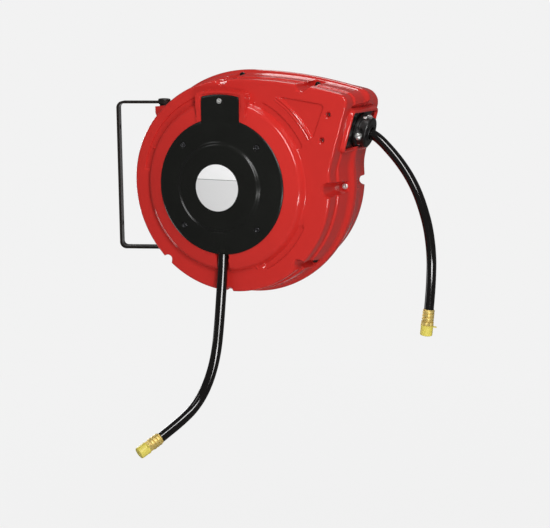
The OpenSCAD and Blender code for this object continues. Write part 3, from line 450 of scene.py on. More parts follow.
def printed_plate():
    """White above a thin dark line, pale grey below it, dark rim: steps on height and radius."""
    mat = finish("label_print", (0.985, 0.985, 0.985), 0.32, spread=0.01, grain=0.05)
    tree = mat.node_tree
    shader = tree.nodes["Principled BSDF"]
    place = tree.nodes["Texture Coordinate"].outputs["Object"]
    height = add_node(tree, "SeparateXYZ", {"Vector": place}).outputs["Z"]
    line_z = float(AXIS_POINT[2]) + LABEL_LINE * MM
    middle = AXIS_POINT - LABEL_FACE * MM * BACKWARDS
    away = distance_from(tree, place, middle.tolist())
    tint = shader.inputs["Base Color"].links[0].from_socket
    for grey, value, low, high in ((0.89, height, -10, line_z),
                                   (0.30, height, line_z - LINE_HALF * MM, line_z + LINE_HALF * MM),
                                   (0.16, away, LABEL_RIM * MM, 1.0)):
        band = computed(tree, "MULTIPLY", computed(tree, "GREATER_THAN", value, low),
                        computed(tree, "LESS_THAN", value, high))
        tint = blend(tree, band, tint, linear((grey,) * 3))
    connect(tree, shader, {"Base Color": tint})
    return mat


def make_finishes(settings):
    """Every finish by the short name that the pieces call it by."""
    return {
        "red": finish("red_moulding", settings.case_red, 0.11, spread=0.012, grain=0.03,
                      grain_size=0.0005, cloud=0.09, gloss=0.45, wear=0.03),
        "cover": finish("black_moulding", settings.cover_black, 0.22, spread=0.05, grain=0.1,
                        grain_size=0.0007, gloss=0.25),
        "guide": finish("black_glossy_moulding", (0.075, 0.07, 0.068), 0.26, spread=0.05, grain=0.06,
                        gloss=0.4),
        "stop": finish("black_satin_moulding", (0.085, 0.078, 0.076), 0.34, spread=0.05, grain=0.04,
                       gloss=0.5),
        "bracket": finish("bracket_paint", (0.13, 0.115, 0.10), 0.34, metal=0.2, gloss=0.4,
                          spread=0.08, grain=0.2, grain_size=0.0012),
        "hose": finish("hose_rubber", settings.hose_black, 0.1, spread=0.06, grain=0.02,
                       grain_size=0.0009, gloss=0.6, wear=0.02),
        "brass": finish("turned_brass", settings.brass, 0.4, metal=0.5, spread=0.03, cloud=0.02),
        "cap": finish("soft_cap", settings.cap_yellow, 0.42, spread=0.02),
        "zinc": finish("zinc_plate", (0.88, 0.88, 0.87), 0.36, metal=0.8, spread=0.04, grain=0.06,
                       cloud=0.01),
        "blackened": finish("blackened_steel", (0.34, 0.34, 0.35), 0.28, metal=0.9, spread=0.1,
                            grain=0.1, cloud=0.01),
        # Zinc of the case screws in the other wells, made darker: painted shade of those wells
        "zinc_in_painted_shade": finish("zinc_plate_in_painted_shade", (0.2, 0.2, 0.2), 0.4, metal=0.8, spread=0.1,
                            grain=0.1, cloud=0.01),
        "acetal": finish("acetal", (0.88, 0.87, 0.82), 0.36, spread=0.02, subsurface=0.1),
        "drum": finish("drum_moulding", (0.27, 0.27, 0.28), 0.45, spread=0.05, grain=0.2),
        "strip": finish("blued_strip", (0.42, 0.45, 0.5), 0.3, metal=1.0, spread=0.08, grain=0.1),
        "seal": finish("seal_rubber", (0.1, 0.1, 0.1), 0.5, spread=0.05, grain=0.1),
        "label": printed_plate(),
    }


FINISHES = {}
# The finish of each solid that stays in the scene
NODE_FINISH = {
    "bracket": ["wall_bracket", "pivot_washers", "axle_plate"],
    "acetal": ["spindle_bearing", "drum_bush"],
    "zinc": ["drum_axle", "spring_arbor", "axle_clip", "inlet_clamp", "roller_pins", "stop_nuts",
             "drum_screws", "spindle_clip", "lid_screws", "latch_pawl", "pawl_pin", "pawl_spring"],
    "brass": ["inlet_elbow", "spindle", "drum_elbow", "inlet_fitting", "outlet_fitting"],
    "hose": ["inlet_lead", "hose_lead", "hose_tail", "wound_hose"],
    "guide": ["upper_roller", "lower_roller", "pivot_bushes"],
    "drum": ["drum_front", "drum_core", "drum_rear", "spring_lid"],
    "seal": ["spindle_seals"],
    "strip": ["power_spring"],
}


# ---------- case ----------

def ray_to_circle(theta, centre, radius):
    """Far crossing of each ray from the drum's axis with a circle round a centre."""
    b = centre[0] * np.cos(theta) + centre[1] * np.sin(theta)
    return b + np.sqrt(np.maximum(b * b - centre[0] ** 2 - centre[1] ** 2 + radius ** 2, 0))


def ray_to_line(ray, spot, normal):
    """Crossing of each ray from the drum's axis with the line through a spot across a normal."""
    return (spot @ normal) / np.maximum(ray @ normal, 1e-3)


def outline_radius(theta, inset, lip, corner_r=CORNER_R):
    """Distance from the drum's axis to the case's side: the larger of the round part and the snout,
    whose arched top, round corner, mouth line and lower slant are each crossed by the ray."""
    round_part = ray_to_circle(theta, CASE_CENTRE, CASE_R - inset)
    crown_arc = ray_to_circle(theta, CROWN_ARC_C + (0, CROWN_RISE * inset),
                              CROWN_ARC_R - (1 + CROWN_RISE) * inset)
    round_part = soft_min(round_part, crown_arc, 1.5)
    ray = heading(theta)
    arch_c = np.array([ARCH_X + ARCH_SHIFT * inset, ARCH_TOP - ARCH_DROP * inset - ARCH_R])
    arch = ray_to_circle(theta, arch_c, ARCH_R)
    mouth = ray_to_line(ray, MOUTH + lip * MOUTH_OUT, MOUTH_OUT)
    start = MOUTH + (lip - corner_r) * MOUTH_OUT - arch_c
    reach = ARCH_R - corner_r - 0.4
    along = start @ MOUTH_UP
    corner = start + arch_c + (math.sqrt(along ** 2 - start @ start + reach ** 2) - along) * MOUTH_UP
    bend = ray_to_circle(theta, corner, corner_r)
    spoke = bend[:, None] * ray - corner
    turn = np.arctan2(spoke[:, 1], spoke[:, 0])
    low = MOUTH + lip * MOUTH_OUT - SLANT_DROP * MOUTH_UP
    foot = CASE_CENTRE + (CASE_R - inset - 3) * heading(SLANT_FOOT)
    normal = np.array([low[1] - foot[1], foot[0] - low[0]])
    slant = ray_to_line(ray, low, normal)
    snout = np.minimum(arch, mouth)
    on_corner = (turn > -TILT) & (turn < math.atan2(*(corner - arch_c)[::-1]))
    snout = np.where(on_corner, np.minimum(bend, snout), snout)
    snout = np.where(theta < math.atan2(low[1], low[0]), slant, snout)
    inside = (theta > SNOUT_TURNS[0]) & (theta < SNOUT_TURNS[1]) & (snout * ray[:, 0] > SNOUT_START)
    width = np.where(theta < BLEND_TURN, LOW_BLEND, TOP_BLEND)
    return np.where(inside, soft_max(round_part, snout, width), round_part)


def well_radius(theta, depth, rear):
    """Near wall of the screw wells along each ray, rising steeply where a ray misses one. Each well
    tapers in a straight line from its mouth in the face to the floor that its screw stands on; the
    rear half's wells stay as wide as their floors."""
    share = (depth - WELL_END) / (HALF_DEPTH - WELL_END)
    near = np.full_like(theta, 1e3)
    for floor, (away, turn, mouth_r) in zip(WELLS, WELL_MOUTHS):
        well = floor + share * (CASE_CENTRE + away * heading(math.radians(turn)) - floor)
        well_r = WELL_FLOOR_R + (0.2 if rear else 1.0) * share * (mouth_r - WELL_FLOOR_R)
        reach = np.hypot(*well)
        off = (theta - math.atan2(well[1], well[0]) + math.pi) % (2 * math.pi) - math.pi
        miss = reach * np.sin(np.clip(off, -0.3, 0.3))
        wall = reach - np.sqrt(np.maximum(well_r ** 2 - miss ** 2, 0))
        beyond = np.maximum(np.abs(miss) - well_r, 0)
        near = np.minimum(near, wall + 9 * beyond)
    return near


def case_angles():
    """Directions round the drum's axis, closer together at the wells, the tab and the snout."""
    even = np.linspace(-math.pi, math.pi, 280, endpoint=False)
    fine = [math.atan2(w[1], w[0]) + np.radians(np.arange(-4.2, 4.21, 0.35)) for w in WELLS]
    fine.append(np.radians([-95.2, -94.8, -94.4, -94.0, -93.6, -86.4, -86, -85.6, -85.2, -84.8]))
    fine.append(np.radians(np.arange(24, 60, 0.35)))
    for spots, half, step in ((NUB_TURNS, 1.0, 0.25), ((72.2, 107.8), 3.6, 0.3)):
        fine += [np.radians(a + np.arange(-half, half + 0.01, step)) for a in spots]
    every = np.sort(np.concatenate([even] + fine))
    every = np.sort((every + math.pi) % (2 * math.pi) - math.pi)
    return every[np.concatenate([[True], np.diff(every) > math.radians(0.13)])]


def arc_distance(x, z, radius, half, low, high):
    """Distance to a round-ended band about an arc round the drum's axis, negative inside."""
    turn = np.arctan2(z, x)
    near = np.clip(turn, low, high)
    inside = (turn >= low) & (turn <= high)
    span = np.where(inside, np.abs(np.hypot(x, z) - radius),
                    np.hypot(x - radius * np.cos(near), z - radius * np.sin(near)))
    return span - half


def face_relief(x, z):
    """How far the front face stands out of its plane: sunk arcs and three-cornered panel, a double
    bead along the panel's curved side, small nubs by the ring. Each edge is a short ramp."""
    relief = np.zeros_like(x)
    for low, high in GROOVES:
        d = arc_distance(x, z, GROOVE_R, GROOVE_HALF, math.radians(low), math.radians(high))
        relief -= GROOVE_DEEP * smooth_step(-d / 1.2)
    spots = np.stack([x, z], -1)
    top = (spots - PANEL_TOP) @ PANEL_TOP_WAY / math.hypot(*PANEL_TOP_WAY)
    right = (spots - PANEL_SIDE) @ PANEL_SIDE_WAY / math.hypot(*PANEL_SIDE_WAY)
    panel = soft_max(soft_max(top, right, 7), PANEL_R - np.hypot(x, z), 3)
    relief -= PANEL_DEEP * smooth_step(-panel / 1.3)
    for at, high in BEADS:
        bead = arc_distance(x, z, at, BEAD_HALF, *np.radians(BEAD_SPAN))
        relief += high * smooth_step(-bead / BEAD_HALF)
    for turn in np.radians(NUB_TURNS):
        along = x * math.cos(turn) + z * math.sin(turn) - NUB_R
        across = z * math.cos(turn) - x * math.sin(turn)
        nub = soft_max(np.abs(along) - NUB_LONG, np.abs(across) - NUB_WIDE, 1.5)
        relief += NUB_HIGH * smooth_step(0.3 - nub)
    return relief


def tab_block(x, z):
    """Height above the joint of the block round the cover's tab: a seat with a raised rim that fades
    into the ring below."""
    edge = soft_max(soft_max(np.abs(x) - BLOCK_HALF, z - BLOCK_TOP + x * x / 500, 5), -z, 3)
    seat = soft_max(soft_max(np.abs(x) - SEAT_HALF, z - SEAT_TOP + x * x / 400, 4), -z, 3)
    height = SEAT_DEPTH + BLOCK_RIM * smooth_step(seat + 0.5) * smooth_step((z - 112) / 14)
    return height * smooth_step(0.8 - edge / 1.6) - 40 * (edge > 4)


def ring_grid(rings, theta):
    """Radius, depth, x and z of every point of rings that are given as radius and depth."""
    radius, depth = (np.stack([value + 0 * theta for value in values]) for values in zip(*rings))
    return radius, depth, radius * np.cos(theta), radius * np.sin(theta)


def case_half(theta, rear):
    """One case half as rings of points: hub, pocket or plateau, ring, face, rounded face edge,
    stepped side with its flange, joint, and a plain inside back to the hub."""
    if rear:
        hub, lip, corner_r = REAR_HUB_R, REAR_LIP, REAR_CORNER_R
        top = rounded([(hub, 88), (112, 88), (126, 87.4), (133.8, HALF_DEPTH), (137, HALF_DEPTH)],
                      (0, 3, 3, 3), 6)
        flat = np.linspace(137, 222, 20)[1:]
    else:
        hub, lip, corner_r = FRONT_HUB_R, MOUTH_LIP, CORNER_R
        top = rounded([(hub, 72), (97, 72), (97, 94.3), (104, 94.3), (129, 88.6), (134, HALF_DEPTH),
                       (137, HALF_DEPTH)], (0, 0, 0.5, 4, 3), 6)
        flat = np.concatenate([np.arange(137.8, 146, 0.8), np.arange(146.5, 154, 1.5),
                               np.arange(154.6, 166, 0.7), np.arange(167, 205, 1.1),
                               np.arange(207, 225, 3.0)])
    rings = list(divided(top, lambda at: 4 if at[0] > 98 else 60))
    edge_start = 20.5
    face_edge = np.minimum(outline_radius(theta, edge_start, MOUTH_LIP - MOUTH_DRAW * edge_start),
                           well_radius(theta, HALF_DEPTH, rear) - 3.2)
    rings += [(np.minimum(r, face_edge - 0.05 * (len(flat) - k)), HALF_DEPTH)
              for k, r in enumerate(flat)]
    rings.append((face_edge, HALF_DEPTH))
    face_rows = len(rings)

    line = rounded([(HALF_DEPTH, edge_start), (HALF_DEPTH, 12.9), (49.6, 12.6), (48.0, 9.7),
                    (14.6, 6.4), (6.4, 0.2), (0.5, 0.0), (0.0, 0.5)],
                   (6.0, 1.6, 1.8, 5.0, 2.4, 0.3), 7)
    extra = np.array([72, 70, 66, 62, 58, 55, 53.5, 51.5, 45, 41, 37, 33, 29, 25, 21, 17.5, 14.6,
                      14.0, 4.5, 2.5])
    extra = np.stack([extra, np.interp(extra, line[::-1, 0], line[::-1, 1])], -1)
    rows = np.concatenate([line[1:], extra])
    rows = rows[np.argsort(-rows[:, 0], kind="stable")]
    curl = line[1:8]
    rows = np.concatenate([curl, rows[rows[:, 0] < curl[-1, 0] - 0.05]])
    ray = heading(theta)
    floor = ray_to_line(ray, MOUTH - POCKET_DEEP * MOUTH_OUT, MOUTH_OUT)
    up = floor * (ray @ MOUTH_UP) - MOUTH @ MOUTH_UP
    pocket = (np.abs(up) < POCKET_HALF) & (np.abs(theta - POCKET_TURN) < POCKET_REACH)
    for depth, inset in rows:
        radius = outline_radius(theta, inset, lip - MOUTH_DRAW * inset, corner_r)
        if depth > WELL_END + 0.3:
            rim = WELL_RIM * smooth_step((depth - WELL_RIM_END) / 6) ** 2
            radius = soft_min(radius, well_radius(theta, depth, rear) - rim, 1.6)
        if depth < POCKET_WIDE:
            radius = np.where(pocket, np.minimum(radius, floor), radius)
        rings.append((radius, depth))
    inner = outline_radius(theta, WALL_INSET, WALL_LIP)
    inner_face = outline_radius(theta, WALL_INSET_DEEP, WALL_LIP)
    rings += [(inner, 0.0), (inner, 20.0), (inner_face, 40.0), (inner_face, HUB_DEPTH),
              (hub, HUB_DEPTH)]

    radius, depth, x, z = ring_grid(rings, theta)
    if rear:
        return np.stack([x, depth, z], -1)
    face = (np.arange(len(rings)) < face_rows)[:, None]
    relief = face_relief(x, z) * smooth_step((face_edge - radius) / 2 + 1)
    depth = np.where(face & (radius > 131), depth + relief, depth)
    on_block = face & (radius > 98) & (z > 60) & (np.abs(x) < 48)
    depth = np.where(on_block, soft_max(depth, tab_block(x, z), 2.0), depth)
    below = face & (z < 0) & (radius > 95) & (radius < 141)
    slot = smooth_step((SLOT_HALF - np.abs(x)) / 0.9) * below
    depth = depth + slot * (np.minimum(depth, SLOT_FLOOR) - depth)
    return np.stack([x, -depth, z], -1)


def cut_holes(obj, spots, profile):
    """Cuts round holes along Y with a boolean, and keeps the cut mesh: [radius, y] points turned."""
    tool = Surface()
    for x, z in spots:
        tool.add(placed(turned(profile, 40), (x, 0, z), (0, 1, 0), (1, 0, 0)))
    cutter = linked("hole_tool", tool.mesh("hole_tool"))
    cut = obj.modifiers.new("holes", "BOOLEAN")
    cut.operation, cut.solver, cut.object = "DIFFERENCE", "EXACT", cutter
    bpy.context.view_layer.update()
    done = bpy.data.meshes.new_from_object(obj.evaluated_get(bpy.context.evaluated_depsgraph_get()))
    obj.modifiers.clear()
    old, obj.data = obj.data, done
    bpy.data.meshes.remove(old)
    bpy.data.objects.remove(cutter)


def prism(p, y0, y1, edge):
    """A flat outline carried from y0 to y1, drawn in by a quarter round of size edge at each end."""
    ahead = np.roll(p, -1, 0) - p
    behind = p - np.roll(p, 1, 0)
    way = unit(unit(ahead) + unit(behind))
    area = np.sum(p[:, 0] * np.roll(p[:, 1], -1) - np.roll(p[:, 0], -1) * p[:, 1])
    inward = np.stack([-way[:, 1], way[:, 0]], -1) * np.sign(area)
    t = np.linspace(0, math.pi / 2, 5)
    draw = np.concatenate([edge * (1 - np.sin(t)), edge * (1 - np.cos(t))])
    y = np.concatenate([y0 + edge * (1 - np.cos(t)), y1 - edge * (1 - np.sin(t))])
    flat = p[None] + draw[:, None, None] * inward[None]
    return np.stack([flat[..., 0], np.repeat(y[:, None], len(p), 1), flat[..., 1]], -1)


def make_case():
    """The two case halves, and the guide rollers' screw holes in the front one."""
    theta = case_angles()
    front, rear = (Surface().add(case_half(theta, back), wrap_rows=True) for back in (False, True))
    cut_holes(front.piece("front_moulding", "red", "front_shell"), ROLLER_SPOTS,
              [(r, y - HALF_DEPTH) for r, y in ((9.6, -4), (5.6, 0), (3.7, 1.9), (3.7, 9))])
    rear.piece("rear_moulding", "red", "rear_shell")


def make_lugs():
    """Swing lugs: outlines with round corners, two plates for each arm with a fine joint between."""
    lugs = Surface()
    for sign, top in ((1, 118.7), (-1, 114.7)):
        line = [(-160.5, top), (-160.5, top - 15), (-150, top - 30), (-112, top - 26), (-128, top)]
        shape = rounded([line[-1]] + line + [line[0]], (3, 4, 8, 2, 3), 6)[6:-1] * (1, sign)
        for y0, y1 in ((-13, -0.15), (0.15, 13)):
            lugs.add(prism(shape, y0, y1, 1.6))
    lugs.piece("swing_lugs", "red")


def make_mouth(settings):
    """Frame round the guide plate, a lip carried round a rounded rectangle, and the plate."""
    lip = settings.lip_width / MM
    ring, normal = rounded_rectangle(PLATE_W / 2 + 0.2, PLATE_H / 2 + 0.2, 5.0, 9)
    section = rounded([(0, -9.5), (0, 4.4), (lip, 4.4), (lip + 1.5, -0.5), (lip + 3.1, -9.5)],
                      (1.2, 2.4, 2.5), 6)
    spots = ring[:, None] + section[None, :, 0:1] * normal[:, None]
    grid = from_mouth(section[None, :, 1], spots[..., 0], spots[..., 1])
    Surface().add(grid, wrap_rows=True).piece("mouth_frame", "red")

    ring, normal = rounded_rectangle(PLATE_W / 2, PLATE_H / 2, 5.0, 9)
    rows = [(unit(ring) * r, w) for r, w in rounded([(9, -4), (9, 0), (20, 0)], (0.8,), 5)]
    rows += [(ring - normal * draw, w)
             for draw, w in ((0.6, 0.0), (0.2, -0.15), (0.0, -0.5), (0.0, -4.0))]
    grid = np.stack([from_mouth(w, spot[:, 0], spot[:, 1]) for spot, w in rows])
    Surface().add(grid, wrap_rows=True).piece("guide_plate_face", "guide", "guide_plate")


# ---------- cover ----------

def cover_edge(theta):
    """Outline of the cover: its circle, or the tab's straight sides and shallow arched top."""
    c, s = np.cos(theta), np.sin(theta)
    rise = np.maximum(s, 1e-6)
    side, top = TAB_HALF / np.maximum(np.abs(c), 1e-6), TAB_TOP / rise
    for _ in range(3):
        top = (TAB_TOP - (top * c) ** 2 / 260) / rise
    tab = soft_min(np.where(s > 0, side, 0), np.where(s > 0, top, 0), 7)
    return soft_max(np.full_like(theta, COVER_R), tab, 1.2)


def cover_depth(r):
    """Depth of the cover's face in front of the joint: flat middle, step, shallow cone, flat tab."""
    line = rounded([(0, 107.7), (40, 107.7), (65.2, 105.9), (69.5, 102.1), (101.4, RIM_DEPTH),
                    (160, RIM_DEPTH)], (10, 2.6, 2.2, 3.0), 7)
    return np.interp(r, line[:, 0], line[:, 1])


def make_cover():
    """Front cover: rings scaled from its middle to its outline, at the depths of its section, with
    sinks for the screws and a half-round hood over the supply hose, closed by a plain inside."""
    theta = np.sort(np.concatenate([np.linspace(-math.pi, math.pi, 420, endpoint=False),
                                    np.radians(np.arange(70.1, 110, 0.5))] +
                                   [math.radians(a) + np.radians(np.arange(-4.1, 4.2, 0.45))
                                    for a in (45, 135, -45, -135)]))
    edge = cover_edge(theta)
    inner = np.concatenate([np.linspace(1, 60, 14), np.linspace(62, 73, 22), np.linspace(75, 82, 5),
                            np.linspace(83, 94, 20), np.linspace(95.5, 101.2, 5)])
    rings = [(r, cover_depth(r)) for r in inner]
    out = [101.2 + s * (edge - 3.4 - 101.2) for s in np.linspace(0, 1, 26)[1:]]
    rings += [(r, cover_depth(r)) for r in out]
    face_rows = len(rings)
    rings += [(edge - draw, RIM_DEPTH - drop)
              for draw, drop in ((0.4, 1.25), (0.1, 1.5), (0.0, 1.9), (0.0, 2.5), (3, 2.5))]
    rings += [(100, RIM_DEPTH - 2.0), (70, 99.6), (65, 103.0), (1, 105.2)]
    radius, depth, x, z = ring_grid(rings, theta)
    face = (np.arange(len(rings)) < face_rows)[:, None]
    for (sx, sz), deep in [(spot, 1.0) for spot in COVER_SCREWS] + [((0, TAB_SCREW), 0.8)]:
        away = np.hypot(x - sx, z - sz)
        depth = np.where(face, depth - deep * smooth_step((SINK_R - away) / SINK_EDGE), depth)
    hood = np.sqrt(np.maximum(HOOD_R ** 2 - x ** 2, 0)) + HOOD_DEPTH
    near = face & (z < -HOOD_FOOT) & (np.abs(x) < HOOD_R)
    rise = smooth_step((-z - HOOD_START) / HOOD_RISE)
    depth = np.where(near, soft_max(depth, depth + (hood - depth) * rise, 2.0), depth)
    Surface().add(np.stack([x, -depth, z], -1)).piece("cover_moulding", "cover", "front_cover")


def make_label(settings):
    """Thin round plate: its edge section turned about the drum's axis."""
    r = settings.label_radius / MM
    profile = rounded([(0.5, -LABEL_FACE), (r - 0.1, -LABEL_FACE), (r, -LABEL_BACK),
                       (0.5, -LABEL_BACK)], (0.35, 0), 5)
    grid = placed(turned(profile, 128), (0, 0, 0), (0, 1, 0), (1, 0, 0))
    Surface().add(grid).piece("label_plate", "label", "label_disc")


# ---------- screws ----------

def cross_screw(at, out, r, high, shank, length, turn):
    """Pan head: a domed disc on rings, sunk where either arm of its cross slot passes."""
    steps = 48
    a = round_turns(steps)
    radii = (np.concatenate([np.linspace(0.12, 0.78, 12), [0.86, 0.94, 0.985, 1.0]]) * r)[:, None]
    dome = high * (0.72 + 0.28 * np.sqrt(np.maximum(1 - (radii / r) ** 2.4, 0)))
    y, z = radii * np.cos(a), radii * np.sin(a)
    reach, half = 0.58 * r, 0.115 * r
    arm = np.minimum(soft_max(np.abs(y) - reach, np.abs(z) - half, 0.1),
                     soft_max(np.abs(z) - reach, np.abs(y) - half, 0.1))
    slot = smooth_step(0.6 - arm / (0.09 * r))
    head = np.stack([dome - slot * 0.6 * high * smooth_step(1.35 - radii / reach), y, z], -1)
    tail = turned([(r, 0.0), (shank, 0.0), (shank, -length)], steps)
    return placed(np.concatenate([head, tail]), at, out, (math.cos(turn), 0.21, math.sin(turn)))


def make_screws(settings):
    """Cross-headed screws of the cover, its tab, the case's wells, the axle and the hose stop."""
    cover_r = settings.cover_screw_radius / MM
    case_r = settings.case_screw_radius / MM
    stop_r = settings.stop_screw_radius / MM
    front, stop_out = (0, -1, 0), from_stop(0, 0, 1) - from_stop(0, 0, 0)
    axle = AXLE_SCREW_R * heading(np.radians([45, 135, 225, 315]))
    stop = [from_stop(STOP_SCREW_X, t, STOP_SEAT) for t in (-STOP_SCREW, STOP_SCREW)]

    def at_depth(spots, y):
        return [(x, y, z) for x, z in spots]

    # Name, finish, solid, places, way out, radius, height, shank, length, first turn, turn between
    for name, tint, node, spots, out, r, high, shank, length, turn, step in (
            ("cover_screw_heads", "blackened", "cover_screws", at_depth(COVER_SCREWS, -97.4), front,
             cover_r, 2.0, 1.55, 20, 0.3, 1),
            ("tab_screw_head", "zinc", None, [(0, -96.6, TAB_SCREW)], front,
             cover_r, 2.2, 1.55, 18, 0.9, 0),
            ("case_screw_heads", "zinc", "case_screws", at_depth(WELLS[:1], -WELL_END), front,
             case_r, 3.2, 2.5, 24, 0, 0),
            # The same zinc case screws in the other wells take the darker zinc: painted shade
            ("sunk_screw_heads", "zinc_in_painted_shade", None, at_depth(WELLS[1:], -WELL_END), front,
             case_r, 3.2, 2.5, 24, 0, 0.2),
            ("axle_screw_heads", "zinc", "axle_screws", at_depth(axle, AXLE_PLATE_Y), (0, 1, 0),
             4.0, 2.3, 1.85, 11, 0, 0.7),
            ("stop_screw_heads", "zinc", "stop_screws", stop, stop_out,
             stop_r, 5.0, 2.4, 15, 0.5, 0)):
        heads = Surface()
        for k, spot in enumerate(spots):
            heads.add(cross_screw(spot, out, r, high, shank, length, turn + k * step))
        heads.piece(name, tint, node)


def make_pins():
    """Swing pins with domed heads on the bracket's arms."""
    pins = Surface()
    pivot = (np.array(JOINTS["case_swing"]["pos_m"]) - AXIS_POINT) / MM
    at = np.array([pivot @ OUTWARDS, pivot @ BACKWARDS, pivot[2]])
    profile = rounded([(0.4, 4.2), (6.5, 4.0), (10.3, 2.9), (10.4, 0.0), (5, 0.0), (5, -23.5),
                       (0.4, -23.5)], (2.0, 2.0, 0.3, 0, 0.6), 6)
    for side in (1, -1):
        pins.add(placed(turned(profile, 48), at + (0, 0, side * ARM_TOP), (0, 0, side), (1, 0, 0)))
    pins.piece("swing_pins", "bracket", "pivot_pins", "bracket")


# ---------- hose stop ----------

def make_stop():
    """Each half is a section turned through half a turn, with the screw seats sunk flat into it."""
    bore, flare = HOSE_R + 0.05, HOSE_R + 2.7
    low, high = STOP_SPAN
    section = rounded([(bore, low), (26.5, low), (26.5, low + 4.5), (STOP_R, low + 5.6),
                       (STOP_R - 0.8, high), (flare + 3, high), (flare + 2.4, high + 1.5),
                       (flare, high + 1.5), (bore, GRIP_END), (bore, low)],
                      (0.5, 1.2, 1.0, 3.0, 1.0, 0.6, 0.6, 0.5), 6)
    section = divided(section, lambda at: 0.8)[:-1]
    turn = np.linspace(0.012, math.pi - 0.012, 150)[:, None]
    r, w = section.T
    t, flat = r * np.cos(turn), r * np.sin(turn)
    for spot in (-STOP_SCREW, STOP_SCREW):
        away = np.hypot(w - STOP_SCREW_X, t - spot)
        sunk = smooth_step((STOP_SEAT_R - away) / 0.9) * (flat > STOP_SEAT) * (r > 13)
        flat = flat + sunk * (STOP_SEAT - flat)
    flat = np.maximum(flat, 0.25)
    for name, side in (("front", 1), ("back", -1)):
        half = Surface().add(from_stop(w, t, side * flat))
        half.piece("stop_%s_half" % name, "stop", "stop_" + name, crease=50)


# ---------- hoses and fittings ----------

def tube(line, radius):
    """Rings of radius round a smooth line that lies in one upright plane."""
    way = unit(np.gradient(line, axis=0))
    flat = np.cross(way, (0, 0, 1.0))
    level = unit(flat[np.argmax(np.linalg.norm(flat, axis=1))])
    lift = np.cross(np.broadcast_to(level, way.shape), way)
    a = round_turns(32)[None, :, None]
    return line[:, None] + radius * (np.cos(a) * level + np.sin(a) * lift[:, None])


def outlet_line():
    """Middle line of the delivery hose, from the stop's bore to its ferrule."""
    start = MOUTH + GRIP_END * MOUTH_OUT
    flat = through([start] + OUTLET_ROUTE, 5)
    return np.stack([flat[:, 0], np.zeros(len(flat)), flat[:, 1]], -1)


def inlet_line():
    """Middle line of the supply hose, from under the cover to its ferrule."""
    flat = through(INLET_ROUTE, 6)
    out = flat[:, 0:1] * heading(INLET_HEADING)
    return np.stack([out[:, 0], LEAD_Y + out[:, 1], flat[:, 1]], -1)


def ferrule_grid(d):
    """Crimped sleeve with one rib that runs round it as a screw and fades out at both ends."""
    steps = 72
    a = round_turns(steps)[None]
    along = np.linspace(0, 1, 90)[:, None] * FERRULE_LEN
    wave = (along / (FERRULE_LEN / RIB_TURNS) - a / (2 * math.pi)) % 1.0
    rib = smooth_step((0.5 - np.abs(wave - 0.5)) / 0.2)
    fade = smooth_step(along / 1.6) * smooth_step((FERRULE_LEN - along) / 1.6)
    radius = d / 2 + 0.1 + RIB_HIGH * rib * fade + 0.3 * along / FERRULE_LEN
    body = np.stack([along + 0 * a, radius * np.cos(a), radius * np.sin(a)], -1)
    back = turned([(0.5, 0.0), (d / 2, 0.0)], steps)
    front = turned([(d / 2 - 0.6, FERRULE_LEN), (0.5, FERRULE_LEN)], steps)
    return np.concatenate([back, body, front])


def hex_grid():
    """Hexagon nut: the flats' radius over the angle, cut by a shallow cone at both ends."""
    steps = 96
    a = round_turns(steps)
    flats = (HEX_AF / 2 + 0.15) / np.cos((a + math.pi / 6) % (math.pi / 3) - math.pi / 6)
    bevel = ((0.0, 8.4), (0.35, 9.0), (0.8, 9.9))
    rows = []
    for x, limit in bevel + tuple((HEX_LEN - x, limit) for x, limit in bevel[::-1]):
        r = np.minimum(flats, limit)
        rows.append(np.stack([np.full(steps, FERRULE_LEN + x), r * np.cos(a), r * np.sin(a)], -1))
    return np.stack(rows)


def cap_grid():
    """Push-on cap: a sleeve with a rolled lip and a rounded closed end."""
    start = FERRULE_LEN + HEX_LEN + 0.3
    end = start + THREAD_LEN + 2.7
    profile = rounded([(THREAD_R + 0.05, start + 12.5), (THREAD_R + 0.05, start), (9.9, start),
                       (9.9, start + 1.6), (9.5, start + 2.2), (9.45, end), (0.3, end)],
                      (0.0, 0.5, 0.5, 0.4, 1.6), 6)
    return turned(np.concatenate([[(0.3, start + 12.5)], profile]), 64)


def prism_tab():
    """Pull tab on the cap's rim: a small rounded plate that stands out sideways."""
    start = FERRULE_LEN + HEX_LEN + 0.6
    a = np.linspace(-math.pi / 2, math.pi / 2, 12)
    line = np.concatenate([2.0 * heading(a) + (13.2, 0), [(9.2, 2.0), (9.2, -2.0)]])
    rows = [np.stack([np.full(len(line), start + x), line[:, 0], line[:, 1] * s], -1)
            for x, s in ((0, 0.85), (0.25, 1.0), (1.25, 1.0), (1.5, 0.85))]
    return np.stack(rows)


def make_hoses():
    """Both free hoses, each a tube along its route with a ferrule, nut and cap at its end, and each
    declared as a cord with what it carries."""
    hoses = (("delivery_hose", "outlet", outlet_line(), HOSE_R,
              OUTLET_DIP, 0.0, 0.0, "delivery_cap"),
             ("supply_hose", "inlet", inlet_line(), SUPPLY_R,
              INLET_DIP, INLET_HEADING, INLET_TAB_TURN, "supply_cap"))
    made = [Surface().add(tube(line, radius)).piece(name, "hose", prefix + "_hose")
            for name, prefix, line, radius, *_ in hoses]
    for hose, (_, prefix, line, radius, dip, turn, tab_turn, body) in zip(made, hoses):
        along = np.array([*(math.cos(dip) * heading(turn)), -math.sin(dip)])
        level = np.cross(along, (0.0, 0.0, 1.0)) if turn else np.array([1.0, 0, 0])

        def fitted(grid, across=level):
            return placed(grid, line[-1], along, across)

        sleeve = Surface().add(fitted(ferrule_grid(2 * radius)))
        sleeve = sleeve.piece(prefix + "_sleeve", "brass", prefix + "_ferrule", crease=60)
        nut = Surface().add(fitted(hex_grid())).piece(prefix + "_nut", "brass", crease=25)
        tab_way = math.cos(tab_turn) * level + math.sin(tab_turn) * np.cross(level, along)
        cap = Surface().add(fitted(cap_grid())).add(fitted(prism_tab(), tab_way))
        cap = cap.piece(prefix + "_cap_shell", "cap", prefix + "_cap", body)


# ---------- stage ----------

